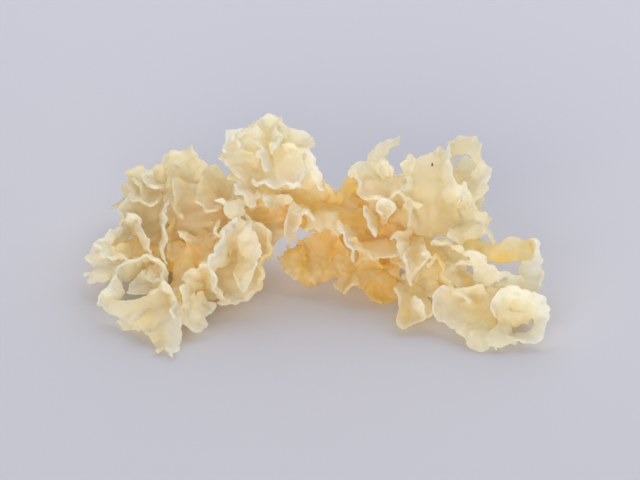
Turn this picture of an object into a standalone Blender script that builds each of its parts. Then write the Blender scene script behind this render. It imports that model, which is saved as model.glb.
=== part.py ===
"""A broken-off piece of dried snow fungus, lying as it fell.

The piece is one growth: two tufts of thin, ruffled fronds, left and right, with a short neck
between them. It is modelled as the fronds and the limbs they grow from, fused into one
body, trimmed flat underneath, and then split at its main forks into five solids.

A frond is a sheet between two lines, its root and its rim. Their points are written as
(across, up, height) in millimetres: across and up lie in a plane that leans back by LEAN,
the plane in which the tufts spread out, and height is measured from the ground.
"""

import math

import bmesh
import bpy
import numpy as np

MM = 0.001
LEAN = math.radians(32)  # how far the plane of across and up leans back from upright
CENTRE = (-0.39, 0.47)  # mm, across and deep, of the middle of the object's box
DOME = 0.3  # how much the middle of the tufts is raised, as a share of its height
DOME_FOOT = -12.0  # mm up, where that rise starts
DOME_SPAN = 46.0  # mm up from there to where it ends

SHEET = 1.3  # mm, thickness of a frond in these solids
RIM_LIP = 0.35  # mm, how much thicker its rim is
ROOT_SPREAD = 0.18  # width of a frond at a one-point root, as a share of its rim
FROND_GRID = (12, 7)  # points of a frond's sheet, along its rim and from root to rim
FAN_GRID = (10, 6)  # the same for a frond out of sight from the front
FAN_BULGE = 0.8  # mm, how far such a frond swells
SWELL_EDGE = 0.06  # of a frond's width, how far past its sides its swelling would come to nothing
LIMB_SIDES = 10
LIMB_RINGS = 4  # for each point of a limb
LIMB_AXIS = (0.0, 0.31, 0.95)  # a direction that no limb runs along, for the start of its rings
CURVE_STEPS = 12  # between one point of a curve and the next
FAN_PLACES = 100  # steps along a limb at which a frond may start
GRAIN = 0.5  # mm, the finest form kept when the fronds are fused
EASE = 0.5  # how strongly the fused body is smoothed each time
EASE_TIMES = 2
FACES = 7900  # triangles left in the fused body
FORK_GAP = 0.3  # mm between the solids at a fork
CUT_REACH = 80.0  # mm, how far the cutters run past the object

# Where the growth forks, in mm from the middle of the object's box
LEFT_FORK = -9.0  # left tuft from neck, across
CROWN_SIDE = -20.0  # left tuft from crown, across
CROWN_FLOOR = 19.0  # crown from what is under it, height
CROWN_EDGE = 3.0  # crown from right tuft, across
RIGHT_FORK = 12.0  # right tuft from neck, across
RIGHT_SPLIT = 0.5  # right tuft's rear from its front, deep

IVORY = (0.80, 0.64, 0.38, 1.0)
AMBER = (0.66, 0.40, 0.13, 1.0)

# Limbs: points as in a frond, with the limb's radius there as a fourth value
LIMBS = {
    "left": [(-7, 15, 11, 3.2), (-17, 11, 8.5, 4.2), (-25, 7, 7, 4.6), (-33, 7, 6, 3.6),
             (-38, 9, 6, 2.2)],
    "left_front": [(-25, 7, 7, 4.4), (-27, 1, 5, 3.6), (-30, -4, 4, 2.8), (-34, -5, 3.2, 1.8)],
    "left_rear": [(-20, 12, 8, 4.0), (-25, 18, 9, 3.8), (-30, 20, 9.5, 3.2), (-35, 20, 9.5, 2.2)],
    "crown": [(-8, 15, 11, 3.4), (-10, 20, 15, 3.4), (-10, 26, 20, 3.2), (-10.5, 29.5, 23, 2.2)],
    "neck": [(-8, 15, 11, 3.2), (0, 15, 11, 2.6), (7, 14, 10, 3.0), (14, 12, 9, 3.8)],
    "neck_low": [(8, 12, 9, 2.8), (10, 7, 6, 2.6), (9, 4, 4.5, 2.2), (2, 5.5, 4.5, 2.0),
                 (-3, 5.5, 4.5, 1.6)],
    "right_rear": [(13, 13, 9.5, 3.8), (20, 16, 11.5, 4.0), (25, 19, 13.5, 3.6), (28.5, 22, 16, 2.4)],
    "right_front": [(14, 12, 9, 3.8), (21, 6, 7, 3.8), (28, 1, 5, 3.2), (33.5, -2, 4, 2.4),
                    (38, -4.4, 2.2, 1.3)],
    "foot": [(-24, 6, 7, 5.0), (-24, 4.2, 3, 4.6), (-24, 2.8, -1, 5.0)],
    "heel": [(22, 5, 6, 3.4), (23, 3.2, 3, 2.8), (23, 1.2, -1, 2.8)],
}

# Fronds: (rim points, root points, bulge in mm). A bulge above 0 swells to the front.
LEFT_REAR = {
    "peak": ([(-29, 26.6, 16), (-27.5, 27.6, 17.5), (-25.8, 28.8, 18.5), (-25, 26.8, 17.5),
              (-23.6, 25.2, 16.5), (-21.4, 24.8, 16)], [(-26, 19, 10)], 0.8),
    "shoulder": ([(-38, 23.6, 13), (-36, 24.6, 14), (-33, 24.6, 14.5), (-31, 25, 15.5), (-31.2, 26.8, 17),
                  (-28.4, 27.2, 17)], [(-31, 19, 9)], 0.7),
    "side": ([(-38, 23.6, 13), (-39, 21, 12.5), (-39.2, 18, 11.5), (-39.8, 16, 10.5), (-40.4, 12.8, 9)],
             [(-33.5, 17, 7)], 0.8),
    "crescent": ([(-34.6, 23.8, 15), (-34.4, 22.4, 14.5), (-33.6, 21.2, 14), (-32.2, 20.4, 13.5)],
                 [(-30.5, 20.4, 9)], 0.8),
    "dim": ([(-37.8, 22.8, 13.5), (-37, 21.2, 13), (-36, 20.4, 12.8), (-34.6, 19.8, 12.5)],
            [(-33.5, 19, 8)], 0.5),
    "tan_leaf": ([(-21, 25, 16.5), (-23.4, 23.6, 16.5), (-24.4, 21.6, 15.5), (-24.8, 19, 14.5),
                  (-24.2, 16.4, 13.5), (-22.8, 15.3, 12.5), (-20.8, 15.8, 12.5)], [(-18, 19, 10)], 1.2),
    "upright": ([(-30, 18.4, 13.5), (-30, 16.4, 13), (-31, 15, 12.5), (-30.8, 12.5, 11.5),
                 (-30.2, 10, 10.5), (-30.9, 8, 9.5), (-30.2, 5.4, 8)], [(-34.5, 13, 6)], -0.8),
    "lapel": ([(-38.6, 14.4, 11), (-36.2, 13.2, 10.5), (-35.4, 11, 10), (-34.4, 9, 9.3),
               (-33.6, 7.4, 8.4)], [(-37.5, 12.5, 6)], 0.5),
    "shelf": ([(-38.6, 19, 12), (-36.2, 17.6, 12), (-33.6, 17, 12), (-31.6, 17.8, 12.5)],
              [(-33.5, 20, 8)], 0.6),
    "slope": ([(-29.4, 23, 15), (-28.4, 19.6, 14), (-28.8, 16.4, 12.5), (-27, 14.2, 11.5)],
              [(-24.5, 19, 9)], 0.8),
    "wall_left": ([(-38.4, 22.6, 11.5), (-39.4, 19, 10), (-39.4, 15, 8.4), (-38.6, 11, 6.6)],
                  [(-27, 23, 12), (-27, 18.5, 10.4), (-27, 14, 8.6), (-28, 9.6, 6.6)], 1.2),
    "wall_right": ([(-29.6, 24, 14), (-30.6, 19.6, 12), (-30.2, 15, 10), (-29, 11, 8)],
                   [(-17.5, 22, 12.4), (-18, 18, 11.4), (-18, 14, 9.8), (-19, 10, 8)], 1.5),
}
LEFT_FRONT = {
    "loop": ([(-40.6, 12.8, 9.5), (-42.4, 10.6, 9), (-43.6, 9.2, 8.5), (-43.2, 7.6, 8), (-41.4, 6.6, 7.5),
              (-38.4, 6.2, 7.5)], [(-37.8, 9.8, 5)], -0.8),
    "ring": ([(-40.8, 0.8, 5.6), (-40.4, 3.4, 6.6), (-38.6, 6, 7.8), (-35, 7, 8.8), (-32, 6.2, 8.8),
              (-30, 4.2, 8), (-29.6, 2, 7), (-31, 0, 6), (-33.6, -1.6, 5.2)], [(-34.4, 3.4, 2.6)], -0.6),
    "cradle": ([(-37.6, -1.2, 3.6), (-37, 1.2, 4.2), (-36, 3.6, 5)],
               [(-30.4, -0.4, 4.4), (-30, 2.6, 5.4), (-31, 5.4, 6.4)], -0.5),
    "inner": ([(-36.2, 3.4, 5.6), (-35, 2.6, 5.6), (-33.4, 2.1, 6), (-31.4, 2.2, 6.6)],
              [(-33.4, 4, 3)], 0.4),
    "sweep": ([(-44, -2.6, 4), (-42.4, -3.4, 3.4), (-40.8, -4.8, 2.8), (-38.2, -5.8, 2.4),
               (-35, -6.6, 2.4), (-32.6, -7.6, 2.2), (-30.8, -9, 1.8), (-29.2, -11.2, 1)],
              [(-42.6, -1, 4.8), (-39.6, -2, 4.8), (-35.6, -1.8, 5), (-32, -0.4, 5.6),
               (-28, 0.6, 6)], 0.7),
    "lip": ([(-44.2, -2.8, 4.2), (-43.4, -0.8, 5.2), (-41.8, 1, 6.2), (-40.2, 2.6, 7)],
            [(-38.6, -1.2, 4)], 0.5),
    "under": ([(-39.6, -5.8, 2), (-38.8, -6.6, 1.4), (-37.6, -7.2, 0.9), (-36.8, -8.2, 0.4)],
              [(-35, -5, 2.6)], 0.3),
    "drip": ([(-27.2, -2.4, 5.2), (-26.9, -5.4, 4.2), (-27.3, -8, 3), (-28, -10.4, 2),
              (-28.3, -12.6, 0.9), (-27.9, -14.2, 0)],
             [(-31.6, -0.6, 5), (-32.2, -3.4, 3.6), (-32.2, -6, 2.6), (-31, -9, 1.6)], 0.7),
    "drip_back": ([(-34.4, -8.4, 1.8), (-33.4, -10, 1.4), (-31.8, -11, 1), (-30.2, -12, 0.6)],
                  [(-30.6, -7, 3.2)], -0.3),
    "drip_web": ([(-36.4, -6.4, 2.2), (-34.8, -8.2, 1.4), (-32.6, -10, 1)],
                 [(-33.6, -3.2, 3.8), (-31.6, -4.8, 3), (-30, -7, 2.4)], 0.4),
    "egg": ([(-26.4, -4, 4.4), (-26.4, -6.2, 3), (-24.8, -7.6, 1.8), (-23.2, -6, 2.6), (-21.6, -4.6, 3.4),
             (-20.4, -3.2, 4.2)], [(-24, -1, 6)], 0.9),
    "apron": ([(-29.4, 2.2, 8.4), (-28.4, 0.6, 8), (-28, -2, 6.6), (-28.4, -4.8, 4.8),
               (-29.6, -6.2, 3.6)], [(-32, -1.6, 3.4)], -0.4),
    "ghost": ([(-44, 9, 6), (-45.8, 7, 5.2), (-46.4, 3.6, 4), (-46, 1.8, 3.4), (-44.6, 0.6, 2.8)],
              [(-40.6, 4, 3)], 0.5),
    "cheek": ([(-27.4, 0.8, 8), (-26.2, -0.8, 7), (-26.4, -2.6, 5.8), (-25.4, -3.4, 5)],
              [(-24, 1.4, 5)], 0.4),
}
LEFT_MIDDLE = {
    "bowl": ([(-29.4, 5.4, 7.2), (-30, 10, 8.8), (-29, 14.6, 10.4), (-25.4, 17.6, 11.2), (-21, 18, 11.4),
              (-17.8, 16, 11.2), (-18, 11, 10.4), (-20.8, 7.2, 9.4), (-24.4, 5.2, 8)],
             [(-24.4, 10.6, 5)], -0.8),
    "ridge": ([(-21.4, 13.6, 12.6), (-20.6, 11.8, 11.8), (-20.8, 9.8, 10.6)], [(-22.8, 11, 6)], 0.3),
    "nick": ([(-27.8, 11, 10.6), (-26.6, 10.5, 10.4), (-25.2, 10.4, 10.2)], [(-26, 12.6, 6.6)], 0.3),
    "face_left": ([(-19.2, 10.4, 13), (-18.6, 13.4, 14.4), (-17.2, 14.2, 14.6), (-16, 13.2, 14)],
                  [(-17.6, 7, 8)], 0.6),
    "face_right": ([(-16, 13.2, 14), (-15, 14, 14.4), (-13.8, 13, 13.8), (-13.6, 10, 12.4),
                    (-14, 7.4, 11)], [(-16, 7, 8)], 0.7),
    "cuff": ([(-18.4, 11.4, 13.4), (-19.4, 9.4, 12.6), (-21.4, 6.8, 11.2), (-24.2, 5.6, 10)],
             [(-18, 5.4, 8)], 0.5),
    "ragged": ([(-24.2, 5.6, 9.6), (-22, 6.2, 9.8), (-20.4, 3, 8.6), (-19.2, 0.8, 7), (-17.6, -1.4, 5.4)],
               [(-22.8, 1, 5)], -0.5),
    "notch_leaf": ([(-24.6, 4.6, 8.8), (-26, 2.8, 8), (-25.6, 1, 7.4), (-26.6, -0.4, 6.6),
                    (-25, -2, 5.4)], [(-22.8, 1.4, 5)], 0.5),
    "hang_leaf": ([(-12.6, 8, 11.4), (-12.4, 5, 9.4), (-13.2, 2.4, 7.6), (-14.4, 0.2, 6),
                   (-15.8, 0.2, 5.8), (-16.8, 2.6, 7)], [(-15.4, 7.4, 8.4)], 0.7),
    "hem": ([(-19.8, -1.2, 5), (-18.8, -2.6, 3.8), (-16, -2, 3.8), (-13.8, -1.4, 4), (-12.2, 0.4, 5),
             (-11.4, 2, 6)], [(-16.6, 1.6, 3.6)], 0.5),
    "right_edge": ([(-11, 6, 9), (-11, 3.6, 7.6), (-11.6, 1.2, 6), (-13, -0.8, 4.6)],
                   [(-14.4, 3.6, 4.4)], 0.4),
    "strap": ([(-14, 15.4, 13.8), (-11.8, 13.6, 13), (-10.4, 12.4, 12.4), (-9, 11.6, 12)],
              [(-11.8, 8, 7.4)], 0.6),
    "flank": ([(-9, 11.6, 12), (-8.6, 9, 10.6), (-9.6, 6.4, 9.4), (-11, 4.4, 8.2)],
              [(-12.6, 8.4, 7)], 0.5),
    "tab": ([(-19.2, 17.6, 15.4), (-18.6, 15.6, 14.8), (-16.8, 14.8, 14.6), (-15.2, 15.6, 14.8),
             (-14.2, 17, 15)], [(-16, 18, 12)], 0.5),
    "web": ([(-29.4, 13, 9), (-29.8, 8, 6.6), (-28.6, 3, 5), (-26.6, -1, 3.4)],
            [(-12, 12.6, 9.4), (-12, 8, 7.4), (-13, 3, 5.4), (-15, -0.6, 3.6)], 1.0),
}
CROWN = {
    "peak": ([(-12.6, 32.4, 28), (-12.2, 33.6, 28.6), (-11.6, 34.6, 29.2), (-10.2, 34.9, 29.6),
              (-9, 34.2, 29), (-8, 33, 28)], [(-10.4, 29.6, 21.5)], 0.6),
    "top_right": ([(-8, 33, 28), (-6, 32.1, 27.2), (-4, 32.3, 27), (-2.8, 31.4, 26), (-2, 30, 24.6),
                   (-1.6, 28, 22.8)], [(-6.6, 27, 19)], 0.8),
    "right": ([(-1.6, 28, 23), (-1.2, 26, 21.4), (-0.6, 24.2, 20), (1, 22.4, 18.2), (2.4, 20.4, 16.4)],
              [(-5, 22.6, 15.5)], 0.5),
    "left_fold": ([(-19, 27.6, 22), (-19.3, 29.8, 24), (-18.4, 31, 25.2), (-17, 31.8, 26),
                   (-15, 32.4, 26.8), (-12.8, 32.4, 27)], [(-13.6, 27.6, 19)], 0.8),
    "left_rim": ([(-16.2, 30.6, 26), (-16.6, 29, 25), (-17.6, 27.6, 23.6)], [(-14, 27.2, 19.5)], 0.3),
    "cup": ([(-16.2, 30, 25.6), (-15.6, 31.2, 26.2), (-14, 31.6, 26.2), (-12.2, 30.8, 26),
             (-11.8, 29, 25.2), (-13, 27.6, 24.4)], [(-13.4, 28.8, 20)], -0.5),
    "flap": ([(-8.2, 32.4, 28.4), (-7.4, 30.6, 27), (-7.4, 28.8, 26), (-8, 27.2, 24.8)],
             [(-9.8, 31.6, 25), (-9.8, 29.4, 23.2), (-9.8, 27.8, 22)], 0.4),
    "ear": ([(-11.4, 28.8, 25.2), (-12.4, 27, 24.2), (-12.1, 25, 22.6), (-10.8, 23.4, 21)],
            [(-10, 28.4, 22.4), (-10.2, 26.4, 21), (-9.6, 24.6, 19.8)], 0.5),
    "face": ([(-2.8, 26.2, 22), (-3.4, 24, 20.6), (-4.6, 21.4, 18.9), (-6.2, 20.1, 17.8),
              (-7.8, 20.6, 18.2), (-9.6, 19.5, 17.2), (-11.4, 20.4, 17.6), (-13.2, 20.8, 18),
              (-14.4, 22.2, 18.8)],
             [(-3.4, 28.2, 21.8), (-6.2, 27, 21.2), (-9.2, 25.4, 20), (-12.2, 24, 18.8)], 1.0),
    "dip": ([(-9.2, 27.2, 24), (-7, 28.2, 24.6), (-4.8, 28.6, 24.6), (-2.6, 27.4, 23.4)],
            [(-8.4, 25.4, 20.6), (-6, 26, 21), (-3.6, 26.6, 21)], -0.4),
    "tan_leaf": ([(-19, 25.2, 19.6), (-17.8, 23.6, 19), (-16.8, 22.6, 18.6), (-16, 21.2, 18),
                  (-16.2, 20, 17.2), (-15.6, 18.2, 16)], [(-12.6, 23.4, 15.5)], 0.8),
    "tip_left": ([(-14.6, 19.8, 17), (-13.8, 18, 16), (-12.8, 16.6, 15.2), (-12, 18, 15.8)],
                 [(-12.6, 20.6, 14)], 0.3),
    "tip_right": ([(-12, 19.6, 16.6), (-11.4, 17.6, 15.4), (-10.4, 16.6, 14.9), (-9.8, 18.4, 15.8)],
                  [(-10.6, 20.4, 14)], 0.3),
    "curl": ([(-10, 16.8, 15), (-9, 18.4, 15.8), (-7.8, 18.9, 16), (-6.2, 17.8, 15.2)],
             [(-8, 16.2, 12)], 0.4),
    "wall": ([(-18.4, 29.6, 22.6), (-19, 26, 19.6), (-17.6, 22.4, 16.8), (-15, 19, 14.6)],
             [(-4, 31, 23.4), (-2.4, 27, 20.4), (-1.6, 23.4, 17.8), (-1, 20, 15)], 1.0),
}
NECK = {
    "white_tongue": ([(-7.4, 14.6, 13), (-7, 11.6, 10), (-6.1, 9.2, 7.4), (-4.8, 10.8, 9),
                      (-3.8, 13, 11.4), (-3.6, 15.6, 13.8)], [(-5.6, 17, 13.6)], 0.6),
    "tongue_rim": ([(-5.8, 16.8, 15), (-4, 15.4, 14.2), (-3, 14, 13.2), (-1.6, 13.8, 12.8)],
                   [(-2.4, 16, 11)], 0.4),
    "top": ([(-0.6, 21.6, 15.6), (2.4, 20.3, 15), (4, 21.1, 15.4), (6, 22, 16), (7.2, 23, 16.6)],
            [(3, 16.6, 11)], 0.6),
    "front": ([(-3.2, 12.6, 12.2), (0, 12.2, 12.2), (1.8, 11.8, 12), (3.6, 12.7, 12.6), (6, 12.8, 12.6)],
              [(1, 16, 10.6)], 0.8),
    "curl": ([(3.4, 12.4, 12.2), (4, 10.4, 11.2), (4.8, 8.6, 10), (5.5, 7, 8.8), (5.6, 5.4, 7.6)],
             [(5.8, 13, 10.8), (6.8, 11.2, 9.8), (6.8, 8.8, 8.6), (6.4, 6.6, 7.2)], 0.5),
    "curl_back": ([(6, 10.4, 10.6), (8, 9, 10), (9.8, 6.2, 8.4)], [(7.6, 12, 8.8)], 0.3),
    "low_left": ([(-2.6, 7.8, 7), (-5.4, 8.1, 7), (-7.4, 6.8, 6), (-7.9, 4.8, 4.8), (-6.6, 2.9, 3.6),
                  (-4.4, 2.1, 3), (-2.2, 2.4, 3)], [(-1.6, 5.4, 4.4)], 0.9),
    "low_middle": ([(-2.4, 2.5, 3), (0, 1.6, 2.6), (3, 1.5, 2.6), (5.2, 2.4, 3.2)],
                   [(1.4, 6, 4.6)], 0.8),
    "low_top": ([(-4, 9.4, 8.4), (-1.6, 10.4, 9), (1.6, 10.6, 9.4), (4, 9.4, 9), (5, 7, 7.8)],
                [(0.6, 6, 4.4)], 0.7),
    "low_right": ([(4.8, 3, 4), (6.4, 0.8, 2.6), (8.6, -0.4, 1.8), (11, -1.7, 1.4), (13.8, -2, 1.4),
                   (16, -0.4, 2.6)], [(10.4, 4.6, 5)], 0.8),
    "low_step": ([(5.2, 4.4, 6), (7.8, 6.8, 8), (11, 7.2, 8.2), (14.4, 6.2, 7.6)], [(10, 3.4, 4)], 0.5),
    "blade": ([(8.8, 16.8, 14.6), (9.3, 14.6, 13.8), (10.3, 12.2, 12.8), (11.4, 10.6, 12)],
              [(11, 14.6, 10)], 0.3),
    "spoon": ([(12.2, 14.8, 13.4), (11.1, 16, 14.5), (11.6, 17.4, 15.6), (13.5, 17.7, 15.8),
               (14.3, 16.4, 14.8), (13.7, 15.1, 13.8)], [(12.8, 13.4, 11)], -0.4),
    "shelf": ([(6.8, 8.6, 9.6), (9.4, 6.9, 9), (12.4, 6.3, 8.8), (15.2, 6.8, 9), (16.6, 8.2, 9.6)],
              [(12, 11, 8)], 0.5),
    "hook": ([(13.8, 10.2, 11.6), (15.2, 11, 12.2), (16, 13, 13.2)], [(17, 10, 8)], 0.3),
    "post": ([(16.2, 12.6, 13), (16.8, 10, 11.6), (16.4, 7.4, 10)], [(18.2, 9.6, 7)], 0.3),
    "web": ([(-8.6, 20.4, 14.2), (-4.4, 19.6, 13.6), (-1, 20.6, 14), (2.6, 19.8, 13.6), (6, 21, 14),
             (9.6, 21, 14)],
            [(-7.6, 13.4, 9.6), (-4, 12.4, 9.2), (-0.6, 11.6, 8.8), (2.6, 11.4, 8.8), (6, 11.4, 8.8),
             (10, 11.6, 9)], 1.0),
    "low_web": ([(-6.4, 4.4, 3.6), (-2, 2.8, 2.4), (2.6, 2.4, 2.2), (7, 1, 1.8), (11, -0.6, 1.4),
                 (15, 0, 2)],
                [(-4, 10, 7.6), (-0.6, 10.8, 8), (3, 11, 8.2), (7, 11, 8.4), (11, 11, 8.6),
                 (15.4, 10.4, 8.6)], 1.2),
}
RIGHT_REAR = {
    "apron": ([(6.4, 22, 16.6), (7.4, 20.6, 16), (9, 19.2, 15.6), (10.6, 18.2, 15.4), (13, 18, 15.4),
               (15.6, 19, 16.2), (17.6, 20.4, 17)], [(12.6, 22.6, 14.6)], 0.6),
    "left_crest": ([(6, 22.6, 16.6), (8, 25.3, 18.4), (10, 26, 19), (11.4, 27.4, 20), (12.6, 25.8, 19)],
                   [(12, 20.6, 13)], 0.6),
    "horn": ([(10.8, 25.4, 18.6), (11.4, 28, 20.6), (12.6, 29.5, 21.6), (14.4, 30, 22), (15.8, 30.3, 22)],
             [(13.4, 23.6, 17), (13.2, 26, 19.2), (13.6, 27.8, 20.6), (14.6, 28.6, 21.2),
              (15.6, 28.9, 21.4)], 0.2),
    "thorn": ([(12.6, 23.4, 18), (13.4, 26.1, 20), (14, 24.8, 19), (14.8, 23.2, 18)],
              [(13.8, 21, 14.6)], 0.2),
    "tuft": ([(16, 24.8, 18.6), (16.6, 26.6, 20), (18.2, 27, 20.2), (20, 26, 19.8), (19.8, 24.2, 18.6)],
             [(17.6, 21, 14)], 0.5),
    "panel": ([(17.8, 24.4, 19), (19.6, 25.9, 20.2), (21.4, 26.8, 21), (23.4, 27.8, 21.6),
               (24.4, 28.8, 22.2), (26.4, 29, 22.4)],
              [(16.4, 12.4, 10.2), (19, 11, 9.6), (22, 10.4, 9), (25, 11, 9.2), (28, 12, 9.8)], 1.8),
    "panel_left": ([(17.4, 22.4, 18), (16.8, 19.6, 16.4), (17, 16.6, 14.4), (17.8, 13, 12)],
                   [(20.6, 17.6, 11)], 0.7),
    "band": ([(26, 29.2, 22.4), (28, 30, 23.2), (30.4, 29.8, 23.2), (31.5, 28, 22), (32.2, 26, 20.8),
              (33.4, 24.6, 19.8)],
             [(26.4, 26, 20), (27.8, 26.9, 20.8), (29.6, 26.8, 20.8), (31, 25.4, 19.6),
              (31.8, 23.4, 18.2)], 0.5),
    "lapel": ([(26.2, 28.8, 22.6), (26.2, 25, 20.4), (27, 22, 18.6), (28.2, 19.4, 17),
               (29.6, 17.6, 15.8)], [(22.6, 18.6, 12.6)], 0.9),
    "blob": ([(28.4, 19, 16.8), (29.8, 19.8, 17.2), (31.2, 19, 16.6), (31.2, 17.2, 15.4),
              (29.6, 16.2, 14.4)], [(27.8, 17, 12)], 0.4),
    "flap": ([(31.6, 25.6, 20.6), (33.4, 24.8, 20), (33.9, 23, 18.8), (32.8, 21.6, 17.6)],
             [(30.4, 22, 15.6)], 0.4),
    "right_side": ([(33, 22.4, 17.8), (32.4, 19, 15.6), (31.8, 15.4, 13.2), (31.6, 12.4, 11)],
                   [(27.4, 15.6, 10)], 0.9),
    "lower": ([(25, 11.6, 11.4), (27.4, 10.6, 10.8), (30, 11.2, 10.8), (33, 11.6, 10.6), (35.6, 10, 9.8)],
              [(28, 14, 8.6)], 0.6),
    "wrinkle": ([(16.4, 16.2, 14.6), (18.6, 18, 15.6), (20.4, 16.4, 14.6)], [(18.6, 14.6, 11)], 0.3),
    "wall_right": ([(33.2, 23.6, 16.6), (32.6, 19, 13.6), (32, 14.6, 10.8), (31.6, 10.8, 8.6)],
                   [(22, 23.6, 15), (22, 19, 12.6), (22, 14.6, 10.4), (22.4, 10.6, 8)], 1.0),
    "wall_left": ([(7.2, 22, 13.6), (8, 18, 11.8), (10, 14, 9.8), (13, 9.6, 7.6)],
                  [(21, 23.4, 15), (21, 18, 12.4), (21, 13, 9.8), (21, 9, 7.4)], 1.4),
}
RIGHT_FRONT = {
    "bar": ([(28.6, 11.8, 9.4), (31.6, 10.4, 9.6), (34.6, 9.4, 9.6), (37.6, 9.8, 10.2), (40.6, 9.7, 9.8),
             (43.2, 9.4, 9)],
            [(28.6, 7.6, 7), (31.6, 6.4, 7.4), (34.4, 5.6, 7.6), (37.4, 5.4, 7.8), (40.4, 5.8, 7.4),
             (42.8, 6.4, 7)], 0.9),
    "bar_end": ([(42.4, 10, 9.8), (43.8, 9.7, 9.4), (44.3, 7.6, 8.2), (44, 5.2, 6.8), (43.7, 2.6, 5.8)],
                [(42.2, 9, 8.2), (41.6, 7, 7), (39.9, 5, 6), (39.2, 2.8, 5.2)], 0.5),
    "arch": ([(28.2, 5.4, 8), (29.6, 6.8, 8.8), (31.2, 7.4, 9.2), (33.4, 6.8, 9), (34.6, 4.8, 8),
              (37, 2.7, 6.8)], [(31.6, 1, 4.4)], 0.5),
    "left_arch": ([(28.6, 5.8, 8.4), (26.6, 4.8, 8), (25.6, 3.4, 7.4), (26.8, 1.4, 6.6)],
                  [(24, 4.4, 6.4)], 0.3),
    "right_post": ([(42.4, 5.6, 6.8), (43.5, 3.4, 6.2), (44, 0.6, 5.8)], [(40.6, 0.6, 4)], 0.4),
    "bridge": ([(36.6, 2.9, 6.8), (39.4, 2.2, 6.4), (42, 2.7, 6.4), (44, 2, 6.2)],
               [(36.8, -0.4, 4.6), (39.8, -1, 4.4), (43, -0.8, 4.6)], 0.4),
    "pointed": ([(16.6, 8, 10.6), (17, 4.6, 8.6), (18, 1.2, 6.2), (19.6, 3, 7.4), (20.9, 5.6, 9),
                 (19.6, 7.8, 10)], [(18.8, 8.2, 8)], 0.5),
    "hollow": ([(20.8, 4.6, 8), (22.6, 5.8, 8.6), (24.6, 4.6, 8.4), (25.2, 1.6, 7)],
               [(22.8, 2.4, 4)], -0.5),
    "small_cup": ([(14, 0.4, 6.2), (14.4, -2.4, 4.6), (15, -5.8, 2.6), (16.8, -6.9, 1.8),
                   (18.6, -6.8, 1.8), (20.4, -5.8, 2.4), (22.2, -4.6, 3.4)],
                  [(15.8, 1.8, 5.6), (18.2, 1, 5.2), (20.2, 0.6, 5), (21.6, -0.6, 4.6)], 0.8),
    "cup_post": ([(19.2, -2.2, 5.6), (19.9, -3.8, 4.8), (19.4, -5.4, 3.6)], [(17.6, -2.6, 4)], 0.2),
    "big_cup": ([(25, 0.8, 7.4), (23.2, -0.4, 6.8), (22.2, -2.4, 5.6), (22.3, -4.6, 4), (24, -5.4, 3.2),
                 (25.8, -6.8, 2.2), (27.4, -9.4, 1)], [(30.6, -3.6, 2.8)], 0.9),
    "cup_edge": ([(25.4, 0.6, 7.2), (27.2, -0.8, 6.4), (29.4, -2.4, 5.2)],
                 [(29.6, 1.2, 4), (31, -0.6, 3.6)], 0.4),
    "round_cup": ([(33.4, -4.4, 5.8), (33.9, -1.8, 7.4), (35.6, -0.2, 8.6), (38, 0.5, 9), (41, 0.2, 9),
                   (43.8, -1.2, 8), (45, -3.4, 6.6)],
                  [(35.6, -6.2, 3), (38.6, -6, 2.8), (41.8, -5.6, 3.2)], -0.5),
    "cup_back": ([(35, -1.2, 7.4), (37.6, -0.4, 8), (40.8, -0.6, 8), (43.6, -2, 7)],
                 [(35.6, -1.6, 3), (38.6, -1.8, 2.2), (42, -2.4, 2.4)], 0.6),
    "cup_low": ([(45, -3.2, 6.4), (45.2, -5.4, 5), (44.6, -7.6, 3.6), (43.2, -9.6, 2.4), (41, -10.5, 1.6),
                 (38.2, -9.6, 1.8)],
                [(42.2, -3.6, 4.4), (42.4, -5.4, 3.6), (42, -7, 2.8), (40.8, -8.2, 2),
                 (38.8, -8, 2)], 0.5),
    "cup_fold": ([(34.8, -3.8, 5.2), (37.2, -5, 4.6), (40.2, -4.6, 4.8), (42.8, -3.6, 5.2)],
                 [(36, -6.4, 3), (38.4, -6.8, 2.4), (41, -6.2, 3)], 0.3),
    "bottom_lobe": ([(33.4, -7.6, 3), (34.2, -10.2, 1.4), (36.4, -11.2, 0.8), (38.6, -10, 1.4),
                     (39, -7.8, 2.8)], [(35.8, -5.8, 3.6)], 0.5),
    "veil": ([(27.2, -9, 1.6), (28.4, -10.9, 0.8), (30, -12.1, 0.3), (31.8, -12.5, 0), (34.4, -11.7, 0.3),
              (36, -10.6, 0.9)], [(31.8, -7, 3)], 0.4),
    "knuckle": ([(21.4, 8, 10), (24, 9, 10.4), (26.6, 8.4, 10), (28.6, 6.6, 9)],
                [(24.6, 9.6, 7.4)], 0.5),
    "lining": ([(26, -0.4, 6.6), (29.4, 0.2, 6.4), (33, 0.6, 7)], [(30.4, -4.2, 2.6)], -0.4),
    "web": ([(14.6, 10, 8), (15.6, 5.4, 5.6), (17, -0.6, 3.2)],
            [(29.6, 9.6, 8), (29.8, 6, 6.2), (26.6, -0.8, 3.4)], 1.0),
    "cup_web": ([(26.4, -1.4, 4.8), (25.6, -5, 3.2), (27.6, -9, 1.6)],
                [(34.8, 0.4, 5.4), (34.6, -4.4, 3.4), (34.4, -9.6, 1.4)], 0.6),
}

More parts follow.
